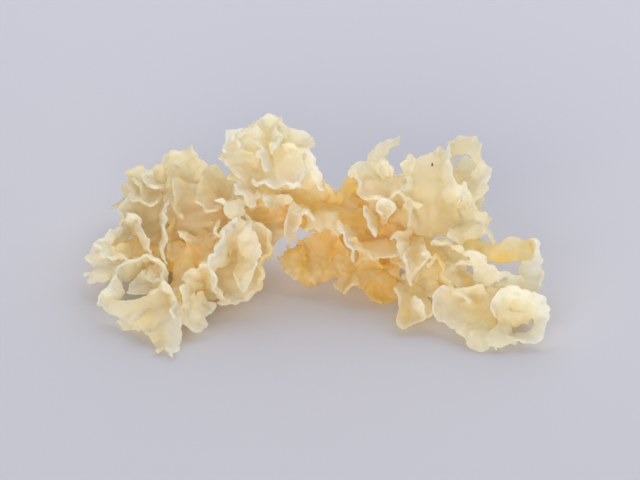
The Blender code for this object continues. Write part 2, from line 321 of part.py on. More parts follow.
# Fronds out of sight from the front, by the limb that they grow from: how far along it,
# heading and lift in degrees (0 heads right, 90 heads back), reach and width in mm
FANS = {
    "left": [(0.15, 95, -15, 9, 11), (0.3, 85, -45, 10, 11), (0.45, 100, -20, 11, 12),
             (0.6, 80, -55, 9, 10), (0.75, 110, -30, 10, 11), (0.95, 150, -25, 8, 10),
             (0.95, 200, 5, 6, 9), (0.3, 270, -50, 8, 10), (0.15, 285, -40, 6, 8)],
    "left_rear": [(0.3, 60, 0, 9, 11), (0.5, 80, -40, 11, 12), (0.5, 95, 15, 8, 11),
                  (0.75, 110, -15, 8, 11), (0.95, 120, 5, 6, 9), (0.95, 150, -35, 9, 11),
                  (0.8, 190, -20, 6.5, 8), (0.6, 230, -50, 9, 10), (0.3, 30, -35, 10, 11)],
    "left_front": [(0.4, 340, -30, 7, 9), (0.6, 300, -20, 6, 8), (0.9, 190, -15, 6, 8),
                   (0.6, 160, -25, 8, 9)],
    "crown": [(0.2, 70, -45, 9, 10), (0.35, 90, -20, 9, 11), (0.45, 140, 5, 8, 10), (0.45, 40, 0, 8, 10),
              (0.7, 100, 10, 8, 11), (0.75, 60, 5, 7, 9), (0.8, 150, 20, 7, 9), (0.95, 85, 30, 6, 9)],
    "neck": [(0.3, 90, 10, 6, 9), (0.45, 85, -35, 8, 10), (0.6, 95, 5, 7, 9), (0.75, 80, -30, 9, 10),
             (0.9, 100, 10, 7, 9)],
    "neck_low": [(0.5, 270, -20, 5, 8), (0.8, 100, -10, 6, 8), (1.0, 180, -10, 5, 8)],
    "right_rear": [(0.2, 95, -35, 10, 11), (0.35, 85, 0, 9, 11), (0.45, 100, -55, 13, 11),
                   (0.6, 75, -20, 10, 12), (0.75, 60, -50, 14, 12), (0.8, 90, 15, 8, 11),
                   (0.9, 40, 0, 5, 9), (0.95, 100, -15, 9, 11), (0.95, 10, -30, 5, 9),
                   (0.7, 20, -45, 7, 10)],
    "right_front": [(0.3, 80, -25, 9, 10), (0.45, 60, -35, 8, 9), (0.6, 45, -25, 8, 10),
                    (0.8, 40, -20, 7, 9), (0.95, 20, -10, 5, 8), (0.35, 250, -40, 7, 9),
                    (0.6, 235, -30, 6, 8), (0.85, 250, -25, 6, 8)],
}
FAN_WAVE = 1.5  # mm, how far a fan's rim waves up and down
FAN_LOBE = 0.2  # how far its reach comes and goes, as a share
FAN_FLOOR = 0.4  # mm, the least height of a fan's rim


def spot(across, up, height):
    """The place of an (across, up, height) point, in mm from the middle of the box."""
    rise = math.sin(math.pi * min(max((up - DOME_FOOT) / DOME_SPAN, 0), 1))
    height = height * (1 + DOME * rise)
    deep = (up - height * math.cos(LEAN)) / math.sin(LEAN)
    return np.array((across - CENTRE[0], deep - CENTRE[1], height))


def smooth_line(points, count):
    """count points at even steps along a Catmull-Rom curve through the given points."""
    points = np.array(points, float)
    if len(points) == 2:
        return points[0] + (points[1] - points[0]) * np.linspace(0, 1, count)[:, None]
    padded = np.vstack([2 * points[0] - points[1], points, 2 * points[-1] - points[-2]])
    fine = []
    for a, b, c, d in zip(padded, padded[1:], padded[2:], padded[3:]):
        for t in np.linspace(0, 1, CURVE_STEPS, endpoint=False):
            fine.append(0.5 * (2 * b + (c - a) * t + (2 * a - 5 * b + 4 * c - d) * t**2
                               + (3 * b - a - 3 * c + d) * t**3))
    fine = np.array(fine + [points[-1]])
    run = np.concatenate([[0], np.cumsum(np.linalg.norm(np.diff(fine, axis=0), axis=1))])
    steps = np.linspace(0, run[-1], count)
    return np.stack([np.interp(steps, run, fine[:, k]) for k in range(3)], axis=1)


def frond_grid(rim, root, bulge, size):
    """Rows of points from root to rim; the sheet swells by bulge at its middle."""
    across, along = size
    rim = smooth_line(rim, across)
    if len(root) == 1:
        root = root[0] + ROOT_SPREAD * (rim - rim.mean(axis=0))
    else:
        root = smooth_line(root, across)
    share = np.linspace(0, 1, along)[:, None, None]
    grid = root[None] + (rim - root)[None] * share
    facing = np.cross(rim[-1] - rim[0], rim.mean(axis=0) - root.mean(axis=0))
    facing /= np.linalg.norm(facing) + 1e-9
    to_viewer = np.array((0.0, -math.cos(LEAN), math.sin(LEAN)))
    if facing @ to_viewer < 0:
        facing = -facing
    side = np.sin(np.pi * np.linspace(SWELL_EDGE, 1 - SWELL_EDGE, across))[None, :, None]
    return grid + facing * bulge * np.sin(np.pi * share) * side


def thick_sheet(bm, grid):
    """Adds the closed sheet that runs along grid, thickest at its rim."""
    along, across, _ = grid.shape
    du = np.gradient(grid, axis=1)
    dv = np.gradient(grid, axis=0)
    out = np.cross(du, dv)
    out /= np.linalg.norm(out, axis=2, keepdims=True) + 1e-9
    half = 0.5 * (SHEET + RIM_LIP * np.linspace(0, 1, along) ** 3)[:, None, None]
    sides = [[[bm.verts.new(p * MM) for p in row] for row in grid + sign * half * out] for sign in (1, -1)]
    front, back = sides
    for i in range(along - 1):
        for j in range(across - 1):
            bm.faces.new((front[i][j], front[i][j + 1], front[i + 1][j + 1], front[i + 1][j]))
            bm.faces.new((back[i][j], back[i + 1][j], back[i + 1][j + 1], back[i][j + 1]))
    edge = [(0, j) for j in range(across)] + [(i, across - 1) for i in range(1, along)]
    edge += [(along - 1, j) for j in range(across - 2, -1, -1)] + [(i, 0) for i in range(along - 2, 0, -1)]
    for (a, b), (c, d) in zip(edge, edge[1:] + edge[:1]):
        bm.faces.new((front[c][d], front[a][b], back[a][b], back[c][d]))


def limb_line(points, count):
    """count points along the middle of a limb."""
    return smooth_line([spot(*p[:3]) for p in points], count)


def limb(bm, points):
    """Adds a closed round limb along points, each with its own radius."""
    line = limb_line(points, LIMB_RINGS * len(points))
    radii = np.interp(np.linspace(0, 1, len(line)), np.linspace(0, 1, len(points)), [p[3] for p in points])
    ahead = np.gradient(line, axis=0)
    ahead /= np.linalg.norm(ahead, axis=1, keepdims=True)
    rings = []
    for centre, radius, way in zip(line, radii, ahead):
        first = np.cross(way, LIMB_AXIS)
        first /= np.linalg.norm(first)
        second = np.cross(way, first)
        turns = [2 * math.pi * k / LIMB_SIDES for k in range(LIMB_SIDES)]
        ring = [centre + radius * (math.cos(t) * first + math.sin(t) * second) for t in turns]
        rings.append([bm.verts.new(p * MM) for p in ring])
    for low, high in zip(rings, rings[1:]):
        for k in range(LIMB_SIDES):
            n = (k + 1) % LIMB_SIDES
            bm.faces.new((low[k], low[n], high[n], high[k]))
    bm.faces.new(rings[0][::-1])
    bm.faces.new(rings[-1])


def fan_lines(number, root, heading, lift, reach, width):
    """Rim and root of a frond that spreads from root on a heading."""
    heading, lift = math.radians(heading), math.radians(lift)
    ahead = np.array((math.cos(heading) * math.cos(lift), math.sin(heading) * math.cos(lift),
                      math.sin(lift)))
    beside = np.array((-math.sin(heading), math.cos(heading), 0.0))
    across = np.cross(ahead, beside)
    rim = []
    for share in np.linspace(-0.5, 0.5, 9):
        lobe = 1 + FAN_LOBE * math.sin(7 * share + 1.7 * number)
        wave = FAN_WAVE * math.sin(9 * share + 2.1 * number)
        point = root + ahead * reach * lobe * math.cos(1.8 * share) + beside * width * share + across * wave
        point[2] = max(point[2], FAN_FLOOR)
        rim.append(point)
    return rim, [root]


def growth():
    """The whole growth, before it is fused: every limb and frond as a closed shape."""
    bm = bmesh.new()
    for points in LIMBS.values():
        limb(bm, points)
    for tuft in (LEFT_REAR, LEFT_FRONT, LEFT_MIDDLE, CROWN, NECK, RIGHT_REAR, RIGHT_FRONT):
        for rim, root, bulge in tuft.values():
            grid = frond_grid([spot(*p) for p in rim], [spot(*p) for p in root], bulge, FROND_GRID)
            thick_sheet(bm, grid)
    number = 0
    for name, fans in FANS.items():
        line = limb_line(LIMBS[name], FAN_PLACES + 1)
        for share, heading, lift, reach, width in fans:
            rim, root = fan_lines(number, line[round(FAN_PLACES * share)], heading, lift, reach, width)
            thick_sheet(bm, frond_grid(rim, root, FAN_BULGE, FAN_GRID))
            number += 1
    bmesh.ops.recalc_face_normals(bm, faces=bm.faces)
    mesh = bpy.data.meshes.new("growth")
    bm.to_mesh(mesh)
    bm.free()
    return mesh


def shaped(mesh, add_modifiers):
    """The mesh as modifiers leave it."""
    obj = bpy.data.objects.new("work", mesh)
    bpy.context.collection.objects.link(obj)
    add_modifiers(obj)
    graph = bpy.context.evaluated_depsgraph_get()
    result = bpy.data.meshes.new_from_object(obj.evaluated_get(graph))
    bpy.data.objects.remove(obj)
    return result


def fuse(obj):
    """Joins all the closed shapes of obj into one skin."""
    remesh = obj.modifiers.new("fuse", "REMESH")
    remesh.mode = "VOXEL"
    remesh.voxel_size = GRAIN * MM
    smooth = obj.modifiers.new("ease", "SMOOTH")
    smooth.factor = EASE
    smooth.iterations = EASE_TIMES


def islands(bm):
    """The separate shells of bm, as lists of faces."""
    left = set(bm.faces)
    found = []
    while left:
        shell, todo = [], [left.pop()]
        while todo:
            face = todo.pop()
            shell.append(face)
            for edge in face.edges:
                for other in edge.link_faces:
                    if other in left:
                        left.remove(other)
                        todo.append(other)
        found.append(shell)
    return found


def volume_of(faces):
    """The volume that a closed shell of faces holds, below 0 for a sealed hollow."""
    total = 0.0
    for face in faces:
        first, *rest = [v.co for v in face.verts]
        for a, b in zip(rest, rest[1:]):
            total += first.dot(a.cross(b)) / 6
    return total


def keep_largest(mesh):
    """Leaves the shell that holds the most, and so no sealed hollow and no loose crumb."""
    bm = bmesh.new()
    bm.from_mesh(mesh)
    shells = sorted(islands(bm), key=volume_of)
    for shell in shells[:-1]:
        bmesh.ops.delete(bm, geom=shell, context="FACES")
    bmesh.ops.triangulate(bm, faces=bm.faces)
    bm.to_mesh(mesh)
    bm.free()


def thin_out(obj):
    """Leaves FACES triangles of obj, most where its form turns most."""
    decimate = obj.modifiers.new("thin_out", "DECIMATE")
    decimate.ratio = FACES / len(obj.data.polygons)
    decimate.use_collapse_triangulate = True


def prism(name, outline, deep_from, deep_to):
    """A cutter: an (across, height) outline in mm, carried from one depth to another."""
    bm = bmesh.new()
    near = [bm.verts.new((x * MM, deep_from * MM, z * MM)) for x, z in outline]
    far = [bm.verts.new((x * MM, deep_to * MM, z * MM)) for x, z in outline]
    bm.faces.new(near)
    bm.faces.new(far[::-1])
    for k in range(len(outline)):
        n = (k + 1) % len(outline)
        bm.faces.new((near[n], near[k], far[k], far[n]))
    bmesh.ops.recalc_face_normals(bm, faces=bm.faces)
    mesh = bpy.data.meshes.new(name)
    bm.to_mesh(mesh)
    bm.free()
    cutter = bpy.data.objects.new(name, mesh)
    cutter.hide_render = True
    cutter.display_type = "WIRE"
    bpy.context.collection.objects.link(cutter)
    return cutter


def regions():
    """The room that each branch fills, with FORK_GAP between one and the next."""
    g, far = FORK_GAP / 2, CUT_REACH
    left = [(-far, 0), (LEFT_FORK - g, 0), (LEFT_FORK - g, CROWN_FLOOR - g),
            (CROWN_SIDE - g, CROWN_FLOOR - g), (CROWN_SIDE - g, far), (-far, far)]
    crown = [(CROWN_SIDE + g, CROWN_FLOOR + g), (CROWN_EDGE - g, CROWN_FLOOR + g), (CROWN_EDGE - g, far),
             (CROWN_SIDE + g, far)]
    neck = [(LEFT_FORK + g, 0), (RIGHT_FORK - g, 0), (RIGHT_FORK - g, CROWN_FLOOR - g),
            (LEFT_FORK + g, CROWN_FLOOR - g)]
    right = [(RIGHT_FORK + g, 0), (far, 0), (far, far), (CROWN_EDGE + g, far),
             (CROWN_EDGE + g, CROWN_FLOOR + g), (RIGHT_FORK + g, CROWN_FLOOR + g)]
    return {
        "left_tuft": (left, -far, far),
        "crown_tuft": (crown, -far, far),
        "neck": (neck, -far, far),
        "right_rear_tuft": (right, RIGHT_SPLIT + g, far),
        "right_front_tuft": (right, -far, RIGHT_SPLIT - g),
    }


def material(name, colour):
    """A plain material under a slot's name; the looks are the scene's."""
    mat = bpy.data.materials.new(name)
    mat.use_nodes = True
    shader = mat.node_tree.nodes["Principled BSDF"]
    shader.inputs["Base Color"].default_value = colour
    shader.inputs["Roughness"].default_value = 0.6
    return mat


def main():
    """Builds the five solids."""
    for obj in list(bpy.data.objects):
        bpy.data.objects.remove(obj)
    body = shaped(growth(), fuse)
    keep_largest(body)
    body = shaped(body, thin_out)
    ivory = material("ivory_frond", IVORY)
    amber = material("amber_gel", AMBER)
    for name, (outline, deep_from, deep_to) in regions().items():
        room = prism(name + "_room", outline, deep_from, deep_to)

        def cut(obj, room=room):
            boolean = obj.modifiers.new("split", "BOOLEAN")
            boolean.operation = "INTERSECT"
            boolean.object = room

        mesh = shaped(body.copy(), cut)
        bpy.data.objects.remove(room)
        keep_largest(mesh)
        mesh.name = name
        mesh.materials.clear()
        mesh.materials.append(amber if name == "neck" else ivory)
        branch = bpy.data.objects.new(name, mesh)
        bpy.context.collection.objects.link(branch)


main()
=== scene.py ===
"""The looks of a piece of dried snow fungus: thin ruffled fronds, ivory at the rim and amber within.

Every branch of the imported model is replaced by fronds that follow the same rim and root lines
as its solid, thin, creased and frilled, with a crumpled amber limb inside. A piece is built as
closed sheets that overlap, and then fused to a single skin.
"""

import math

import bmesh
import bpy
import numpy as np
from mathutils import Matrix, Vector
from mathutils.kdtree import KDTree

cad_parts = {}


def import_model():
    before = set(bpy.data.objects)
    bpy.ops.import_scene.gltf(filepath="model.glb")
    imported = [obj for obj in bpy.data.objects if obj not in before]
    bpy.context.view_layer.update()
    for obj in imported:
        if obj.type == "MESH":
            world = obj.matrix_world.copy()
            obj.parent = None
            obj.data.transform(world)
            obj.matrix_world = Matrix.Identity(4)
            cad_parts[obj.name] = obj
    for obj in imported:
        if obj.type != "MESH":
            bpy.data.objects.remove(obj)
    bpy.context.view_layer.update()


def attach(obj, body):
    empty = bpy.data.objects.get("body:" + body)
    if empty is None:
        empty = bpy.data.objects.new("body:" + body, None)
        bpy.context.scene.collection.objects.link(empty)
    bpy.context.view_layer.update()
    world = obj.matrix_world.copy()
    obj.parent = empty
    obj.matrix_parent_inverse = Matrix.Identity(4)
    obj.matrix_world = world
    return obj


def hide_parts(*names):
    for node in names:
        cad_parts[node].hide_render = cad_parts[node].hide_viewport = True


MM = 0.001
LEAN = math.radians(32)  # how far the plane of across and up leans back from upright
TO_VIEWER = np.array((0.0, -math.cos(LEAN), math.sin(LEAN)))
CENTRE = (-0.39, 0.47)  # mm, across and deep, of the middle of the object's box
DOME = 0.3  # how much the middle of the tufts is raised, as a share of its height
DOME_FOOT = -12.0  # mm up, where that rise starts
DOME_SPAN = 46.0  # mm up from there to where it ends
CURVE_STEPS = 12  # places between two points of a curve
MEASURE_STEPS = 60  # places at which a rim's length is measured

STEP = 0.36  # mm between the points of a frond's mesh
HIDDEN_STEP = 0.5  # mm, the same for a frond that others hide
ACROSS = (12, 90)  # fewest and most points along its rim
ALONG = (9, 50)  # the same from its root to its rim
ROOT_SPREAD = 0.18  # width of a frond at a one-point root, as a share of its rim
BULGE_EDGE = 0.06  # share of the width at each side where the bulge no longer falls away
SHEET = 0.46  # mm, thickness of a frond
LIP = 0.2  # mm, how much thicker its rim is
LIP_SHARE = 0.1  # of the way from root to rim that the lip takes
EDGE_ROUND = 0.9  # how far the edge stands out, as a share of half the thickness there
TEAR = 0.045  # how far the rim's outline comes and goes, as a share of the frond's reach
TEARS = ((1, 1.9), (0.7, 0.83), (0.4, 0.45))  # its waves: size, and mm to a radian
TEAR_POWER = 3  # how sharply the tears grow towards the rim
FRILL = 0.42  # mm, how far the rim waves
FRILL_LENGTH = 5.6  # mm from wave to wave
FRILLS = ((1, 1, 1.5), (0.55, 1.83, -2.0))  # its waves: size, number in that length, slant
FRILL_POWER = 1.7  # how sharply the frill grows towards the rim
CREASE = 0.12  # mm, depth of the creases that run from root to rim
CREASES = ((1, 0.9, 1.2), (0.6, 2.1, -1.5))  # their waves, as those of the frill
CURL = 0.9  # mm, the most that a rim curls to one side
CURL_SHARE = 0.2  # of the way from root to rim that curls
CRUMPLE = 0.6  # mm, how far a frond is bent out of its plane
FINE_CRUMPLE = 0.3  # mm, the same for the finer bends
ROOT_CRUMPLE = 0.35  # share of both that is left at the root
RIM_CLEAR = 0.8  # how much of the amber a pale rim loses

LIMB_SIZE = 0.72  # of the solids' limbs
LIMB_SIDES = 36
LIMB_ROWS = 12  # rows of points for each point that a limb is given by
LIMB_ASIDE = (0.0, 0.31, 0.95)  # a heading that no limb takes
LIMB_FOLD = 0.6  # mm, how far a limb's skin goes in and out
LIMB_FOLDS = (1.3, 1.6)  # how many folds the broad and the fine noise make
VOXEL = 0.3  # mm, the finest form kept where the fronds are fused
SOFTEN = 3  # times that the fused skin is smoothed
GRIT = 0.06  # mm, how far small lumps move the fused skin
GRAIN = 0.035  # mm, the same for the smallest ones
CRUMB = 100  # points, below which a loose part of the skin is dropped
GROUND = 0.02  # mm, the lowest that a point may be

# All points are (across, up, height) in mm: across and up in the plane that faces the viewer,
# and height above the level that the piece rests on. Limbs have their radius there as well.
LIMBS = {
    "left": [(-7, 15, 11, 3.2), (-17, 11, 8.5, 4.2), (-25, 7, 7, 4.6), (-33, 7, 6, 3.6), (-38, 9, 6, 2.2)],
    "left_front": [(-25, 7, 7, 4.4), (-27, 1, 5, 3.6), (-30, -4, 4, 2.8), (-34, -5, 3.2, 1.8)],
    "left_rear": [(-20, 12, 8, 4.0), (-25, 18, 9, 3.8), (-30, 20, 9.5, 3.2), (-35, 20, 9.5, 2.2)],
    "crown": [(-8, 15, 11, 3.4), (-10, 20, 15, 3.4), (-10, 26, 20, 3.2), (-10.5, 29.5, 23, 2.2)],
    "neck": [(-8, 15, 11, 3.2), (0, 15, 11, 2.6), (7, 14, 10, 3.0), (14, 12, 9, 3.8)],
    "neck_low": [(8, 12, 9, 2.8), (10, 7, 6, 2.6), (9, 4, 4.5, 2.2), (2, 5.5, 4.5, 2.0),
        (-3, 5.5, 4.5, 1.6)],
    "right_rear": [(13, 13, 9.5, 3.8), (20, 16, 11.5, 4.0), (25, 19, 13.5, 3.6), (28.5, 22, 16, 2.4)],
    "right_front": [(14, 12, 9, 3.8), (21, 6, 7, 3.8), (28, 1, 5, 3.2), (33.5, -2, 4, 2.4),
        (38, -4.4, 2.2, 1.3)],
    "foot": [(-24, 6, 7, 5.0), (-24, 4.2, 3, 4.6), (-24, 2.8, -1, 5.0)],
    "heel": [(22, 5, 6, 3.4), (23, 3.2, 3, 2.8), (23, 1.2, -1, 2.8)],
}

# Fronds: (rim, root, bulge in mm). A bulge above 0 swells to the front.
LEFT_REAR = {
    "peak": ([(-29, 26.6, 16), (-27.5, 27.6, 17.5), (-25.8, 28.8, 18.5), (-25, 26.8, 17.5),
         (-23.6, 25.2, 16.5), (-21.4, 24.8, 16)], [(-26, 19, 10)], 0.8),
    "shoulder": ([(-38, 23.6, 13), (-36, 24.6, 14), (-33, 24.6, 14.5), (-31, 25, 15.5), (-31.2, 26.8, 17),
         (-28.4, 27.2, 17)], [(-31, 19, 9)], 0.7),
    "side": ([(-38, 23.6, 13), (-39, 21, 12.5), (-39.2, 18, 11.5), (-39.8, 16, 10.5), (-40.4, 12.8, 9)],
        [(-33.5, 17, 7)], 0.8),
    "crescent": ([(-34.6, 23.8, 15), (-34.4, 22.4, 14.5), (-33.6, 21.2, 14), (-32.2, 20.4, 13.5)],
        [(-30.5, 20.4, 9)], 0.8),
    "dim": ([(-37.8, 22.8, 13.5), (-37, 21.2, 13), (-36, 20.4, 12.8), (-34.6, 19.8, 12.5)],
        [(-33.5, 19, 8)], 0.5),
    "tan_leaf": ([(-21, 25, 16.5), (-23.4, 23.6, 16.5), (-24.4, 21.6, 15.5), (-24.8, 19, 14.5),
         (-24.2, 16.4, 13.5), (-22.8, 15.3, 12.5), (-20.8, 15.8, 12.5)], [(-18, 19, 10)], 1.2),
    "upright": ([(-30, 18.4, 13.5), (-30, 16.4, 13), (-31, 15, 12.5), (-30.8, 12.5, 11.5),
         (-30.2, 10, 10.5), (-30.9, 8, 9.5), (-30.2, 5.4, 8)], [(-34.5, 13, 6)], -0.8),
    "lapel": ([(-38.6, 14.4, 11), (-36.2, 13.2, 10.5), (-35.4, 11, 10), (-34.4, 9, 9.3), (-33.6, 7.4, 8.4)],
        [(-37.5, 12.5, 6)], 0.5),
    "shelf": ([(-38.6, 19, 12), (-36.2, 17.6, 12), (-33.6, 17, 12), (-31.6, 17.8, 12.5)],
        [(-33.5, 20, 8)], 0.6),
    "slope": ([(-29.4, 23, 15), (-28.4, 19.6, 14), (-28.8, 16.4, 12.5), (-27, 14.2, 11.5)],
        [(-24.5, 19, 9)], 0.8),
    "wall_left": ([(-38.4, 22.6, 11.5), (-39.4, 19, 10), (-39.4, 15, 8.4), (-38.6, 11, 6.6)],
        [(-27, 23, 12), (-27, 18.5, 10.4), (-27, 14, 8.6), (-28, 9.6, 6.6)], 1.2),
    "wall_right": ([(-29.6, 24, 14), (-30.6, 19.6, 12), (-30.2, 15, 10), (-29, 11, 8)],
        [(-17.5, 22, 12.4), (-18, 18, 11.4), (-18, 14, 9.8), (-19, 10, 8)], 1.5),
}
LEFT_FRONT = {
    "loop": ([(-40.6, 12.8, 9.5), (-42.4, 10.6, 9), (-43.6, 9.2, 8.5), (-43.2, 7.6, 8), (-41.4, 6.6, 7.5),
         (-38.4, 6.2, 7.5)], [(-37.8, 9.8, 5)], -0.8),
    "ring": ([(-40.8, 0.8, 5.6), (-40.4, 3.4, 6.6), (-38.6, 6, 7.8), (-35, 7, 8.8), (-32, 6.2, 8.8),
         (-30, 4.2, 8), (-29.6, 2, 7), (-31, 0, 6), (-33.6, -1.6, 5.2)], [(-34.4, 3.4, 2.6)], -0.6),
    "cradle": ([(-37.6, -1.2, 3.6), (-37, 1.2, 4.2), (-36, 3.6, 5)],
        [(-30.4, -0.4, 4.4), (-30, 2.6, 5.4), (-31, 5.4, 6.4)], -0.5),
    "inner": ([(-36.2, 3.4, 5.6), (-35, 2.6, 5.6), (-33.4, 2.1, 6), (-31.4, 2.2, 6.6)],
        [(-33.4, 4, 3)], 0.4),
    "sweep": ([(-44, -2.6, 4), (-42.4, -3.4, 3.4), (-40.8, -4.8, 2.8), (-38.2, -5.8, 2.4), (-35, -6.6, 2.4),
         (-32.6, -7.6, 2.2), (-30.8, -9, 1.8), (-29.2, -11.2, 1)],
        [(-42.6, -1, 4.8), (-39.6, -2, 4.8), (-35.6, -1.8, 5), (-32, -0.4, 5.6), (-28, 0.6, 6)], 0.7),
    "lip": ([(-44.2, -2.8, 4.2), (-43.4, -0.8, 5.2), (-41.8, 1, 6.2), (-40.2, 2.6, 7)],
        [(-38.6, -1.2, 4)], 0.5),
    "under": ([(-39.6, -5.8, 2), (-38.8, -6.6, 1.4), (-37.6, -7.2, 0.9), (-36.8, -8.2, 0.4)],
        [(-35, -5, 2.6)], 0.3),
    "drip": ([(-27.2, -2.4, 5.2), (-26.9, -5.4, 4.2), (-27.3, -8, 3), (-28, -10.4, 2), (-28.3, -12.6, 0.9),
         (-27.9, -14.2, 0)], [(-31.6, -0.6, 5), (-32.2, -3.4, 3.6), (-32.2, -6, 2.6), (-31, -9, 1.6)], 0.7),
    "drip_back": ([(-34.4, -8.4, 1.8), (-33.4, -10, 1.4), (-31.8, -11, 1), (-30.2, -12, 0.6)],
        [(-30.6, -7, 3.2)], -0.3),
    "drip_web": ([(-36.4, -6.4, 2.2), (-34.8, -8.2, 1.4), (-32.6, -10, 1)],
        [(-33.6, -3.2, 3.8), (-31.6, -4.8, 3), (-30, -7, 2.4)], 0.4),
    "egg": ([(-26.4, -4, 4.4), (-26.4, -6.2, 3), (-24.8, -7.6, 1.8), (-23.2, -6, 2.6), (-21.6, -4.6, 3.4),
         (-20.4, -3.2, 4.2)], [(-24, -1, 6)], 0.9),
    "apron": ([(-29.4, 2.2, 8.4), (-28.4, 0.6, 8), (-28, -2, 6.6), (-28.4, -4.8, 4.8), (-29.6, -6.2, 3.6)],
        [(-32, -1.6, 3.4)], -0.4),
    "ghost": ([(-44, 9, 6), (-45.8, 7, 5.2), (-46.4, 3.6, 4), (-46, 1.8, 3.4), (-44.6, 0.6, 2.8)],
        [(-35.2, 3.4, 2.7)], 0.5),
    "cheek": ([(-27.4, 0.8, 8), (-26.2, -0.8, 7), (-26.4, -2.6, 5.8), (-25.4, -3.4, 5)],
        [(-24, 1.4, 5)], 0.4),
}
LEFT_MIDDLE = {
    "bowl": ([(-29.4, 5.4, 7.2), (-30, 10, 8.8), (-29, 14.6, 10.4), (-25.4, 17.6, 11.2), (-21, 18, 11.4),
         (-17.8, 16, 11.2), (-18, 11, 10.4), (-20.8, 7.2, 9.4), (-24.4, 5.2, 8)], [(-24.4, 10.6, 5)], -0.8),
    "ridge": ([(-21.4, 13.6, 12.6), (-20.6, 11.8, 11.8), (-20.8, 9.8, 10.6)], [(-22.8, 11, 6)], 0.3),
    "nick": ([(-27.8, 11, 10.6), (-26.6, 10.5, 10.4), (-25.2, 10.4, 10.2)], [(-26, 12.6, 6.6)], 0.3),
    "face_left": ([(-19.2, 10.4, 13), (-18.6, 13.4, 14.4), (-17.2, 14.2, 14.6), (-16, 13.2, 14)],
        [(-17.6, 7, 8)], 0.6),
    "face_right": ([(-16, 13.2, 14), (-15, 14, 14.4), (-13.8, 13, 13.8), (-13.6, 10, 12.4), (-14, 7.4, 11)],
        [(-16, 7, 8)], 0.7),
    "cuff": ([(-18.4, 11.4, 13.4), (-19.4, 9.4, 12.6), (-21.4, 6.8, 11.2), (-24.2, 5.6, 10)],
        [(-18, 5.4, 8)], 0.5),
    "ragged": ([(-24.2, 5.6, 9.6), (-22, 6.2, 9.8), (-20.4, 3, 8.6), (-19.2, 0.8, 7), (-17.6, -1.4, 5.4)],
        [(-22.8, 1, 5)], -0.5),
    "notch_leaf": ([(-24.6, 4.6, 8.8), (-26, 2.8, 8), (-25.6, 1, 7.4), (-26.6, -0.4, 6.6), (-25, -2, 5.4)],
        [(-22.8, 1.4, 5)], 0.5),
    "hang_leaf": ([(-12.6, 8, 11.4), (-12.4, 5, 9.4), (-13.2, 2.4, 7.6), (-14.4, 0.2, 6), (-15.8, 0.2, 5.8),
         (-16.8, 2.6, 7)], [(-15.4, 7.4, 8.4)], 0.7),
    "hem": ([(-19.8, -1.2, 5), (-18.8, -2.6, 3.8), (-16, -2, 3.8), (-13.8, -1.4, 4), (-12.2, 0.4, 5),
         (-11.4, 2, 6)], [(-16.6, 1.6, 3.6)], 0.5),
    "right_edge": ([(-11, 6, 9), (-11, 3.6, 7.6), (-11.6, 1.2, 6), (-13, -0.8, 4.6)],
        [(-14.4, 3.6, 4.4)], 0.4),
    "strap": ([(-14, 15.4, 13.8), (-11.8, 13.6, 13), (-10.4, 12.4, 12.4), (-9, 11.6, 12)],
        [(-11.8, 8, 7.4)], 0.6),
    "flank": ([(-9, 11.6, 12), (-8.6, 9, 10.6), (-9.6, 6.4, 9.4), (-11, 4.4, 8.2)], [(-12.6, 8.4, 7)], 0.5),
    "tab": ([(-19.2, 17.6, 15.4), (-18.6, 15.6, 14.8), (-16.8, 14.8, 14.6), (-15.2, 15.6, 14.8),
         (-14.2, 17, 15)], [(-16, 18, 12)], 0.5),
    "web": ([(-29.4, 13, 9), (-29.8, 8, 6.6), (-28.6, 3, 5), (-26.6, -1, 3.4)],
        [(-12, 12.6, 9.4), (-12, 8, 7.4), (-13, 3, 5.4), (-15, -0.6, 3.6)], 1.0),
}
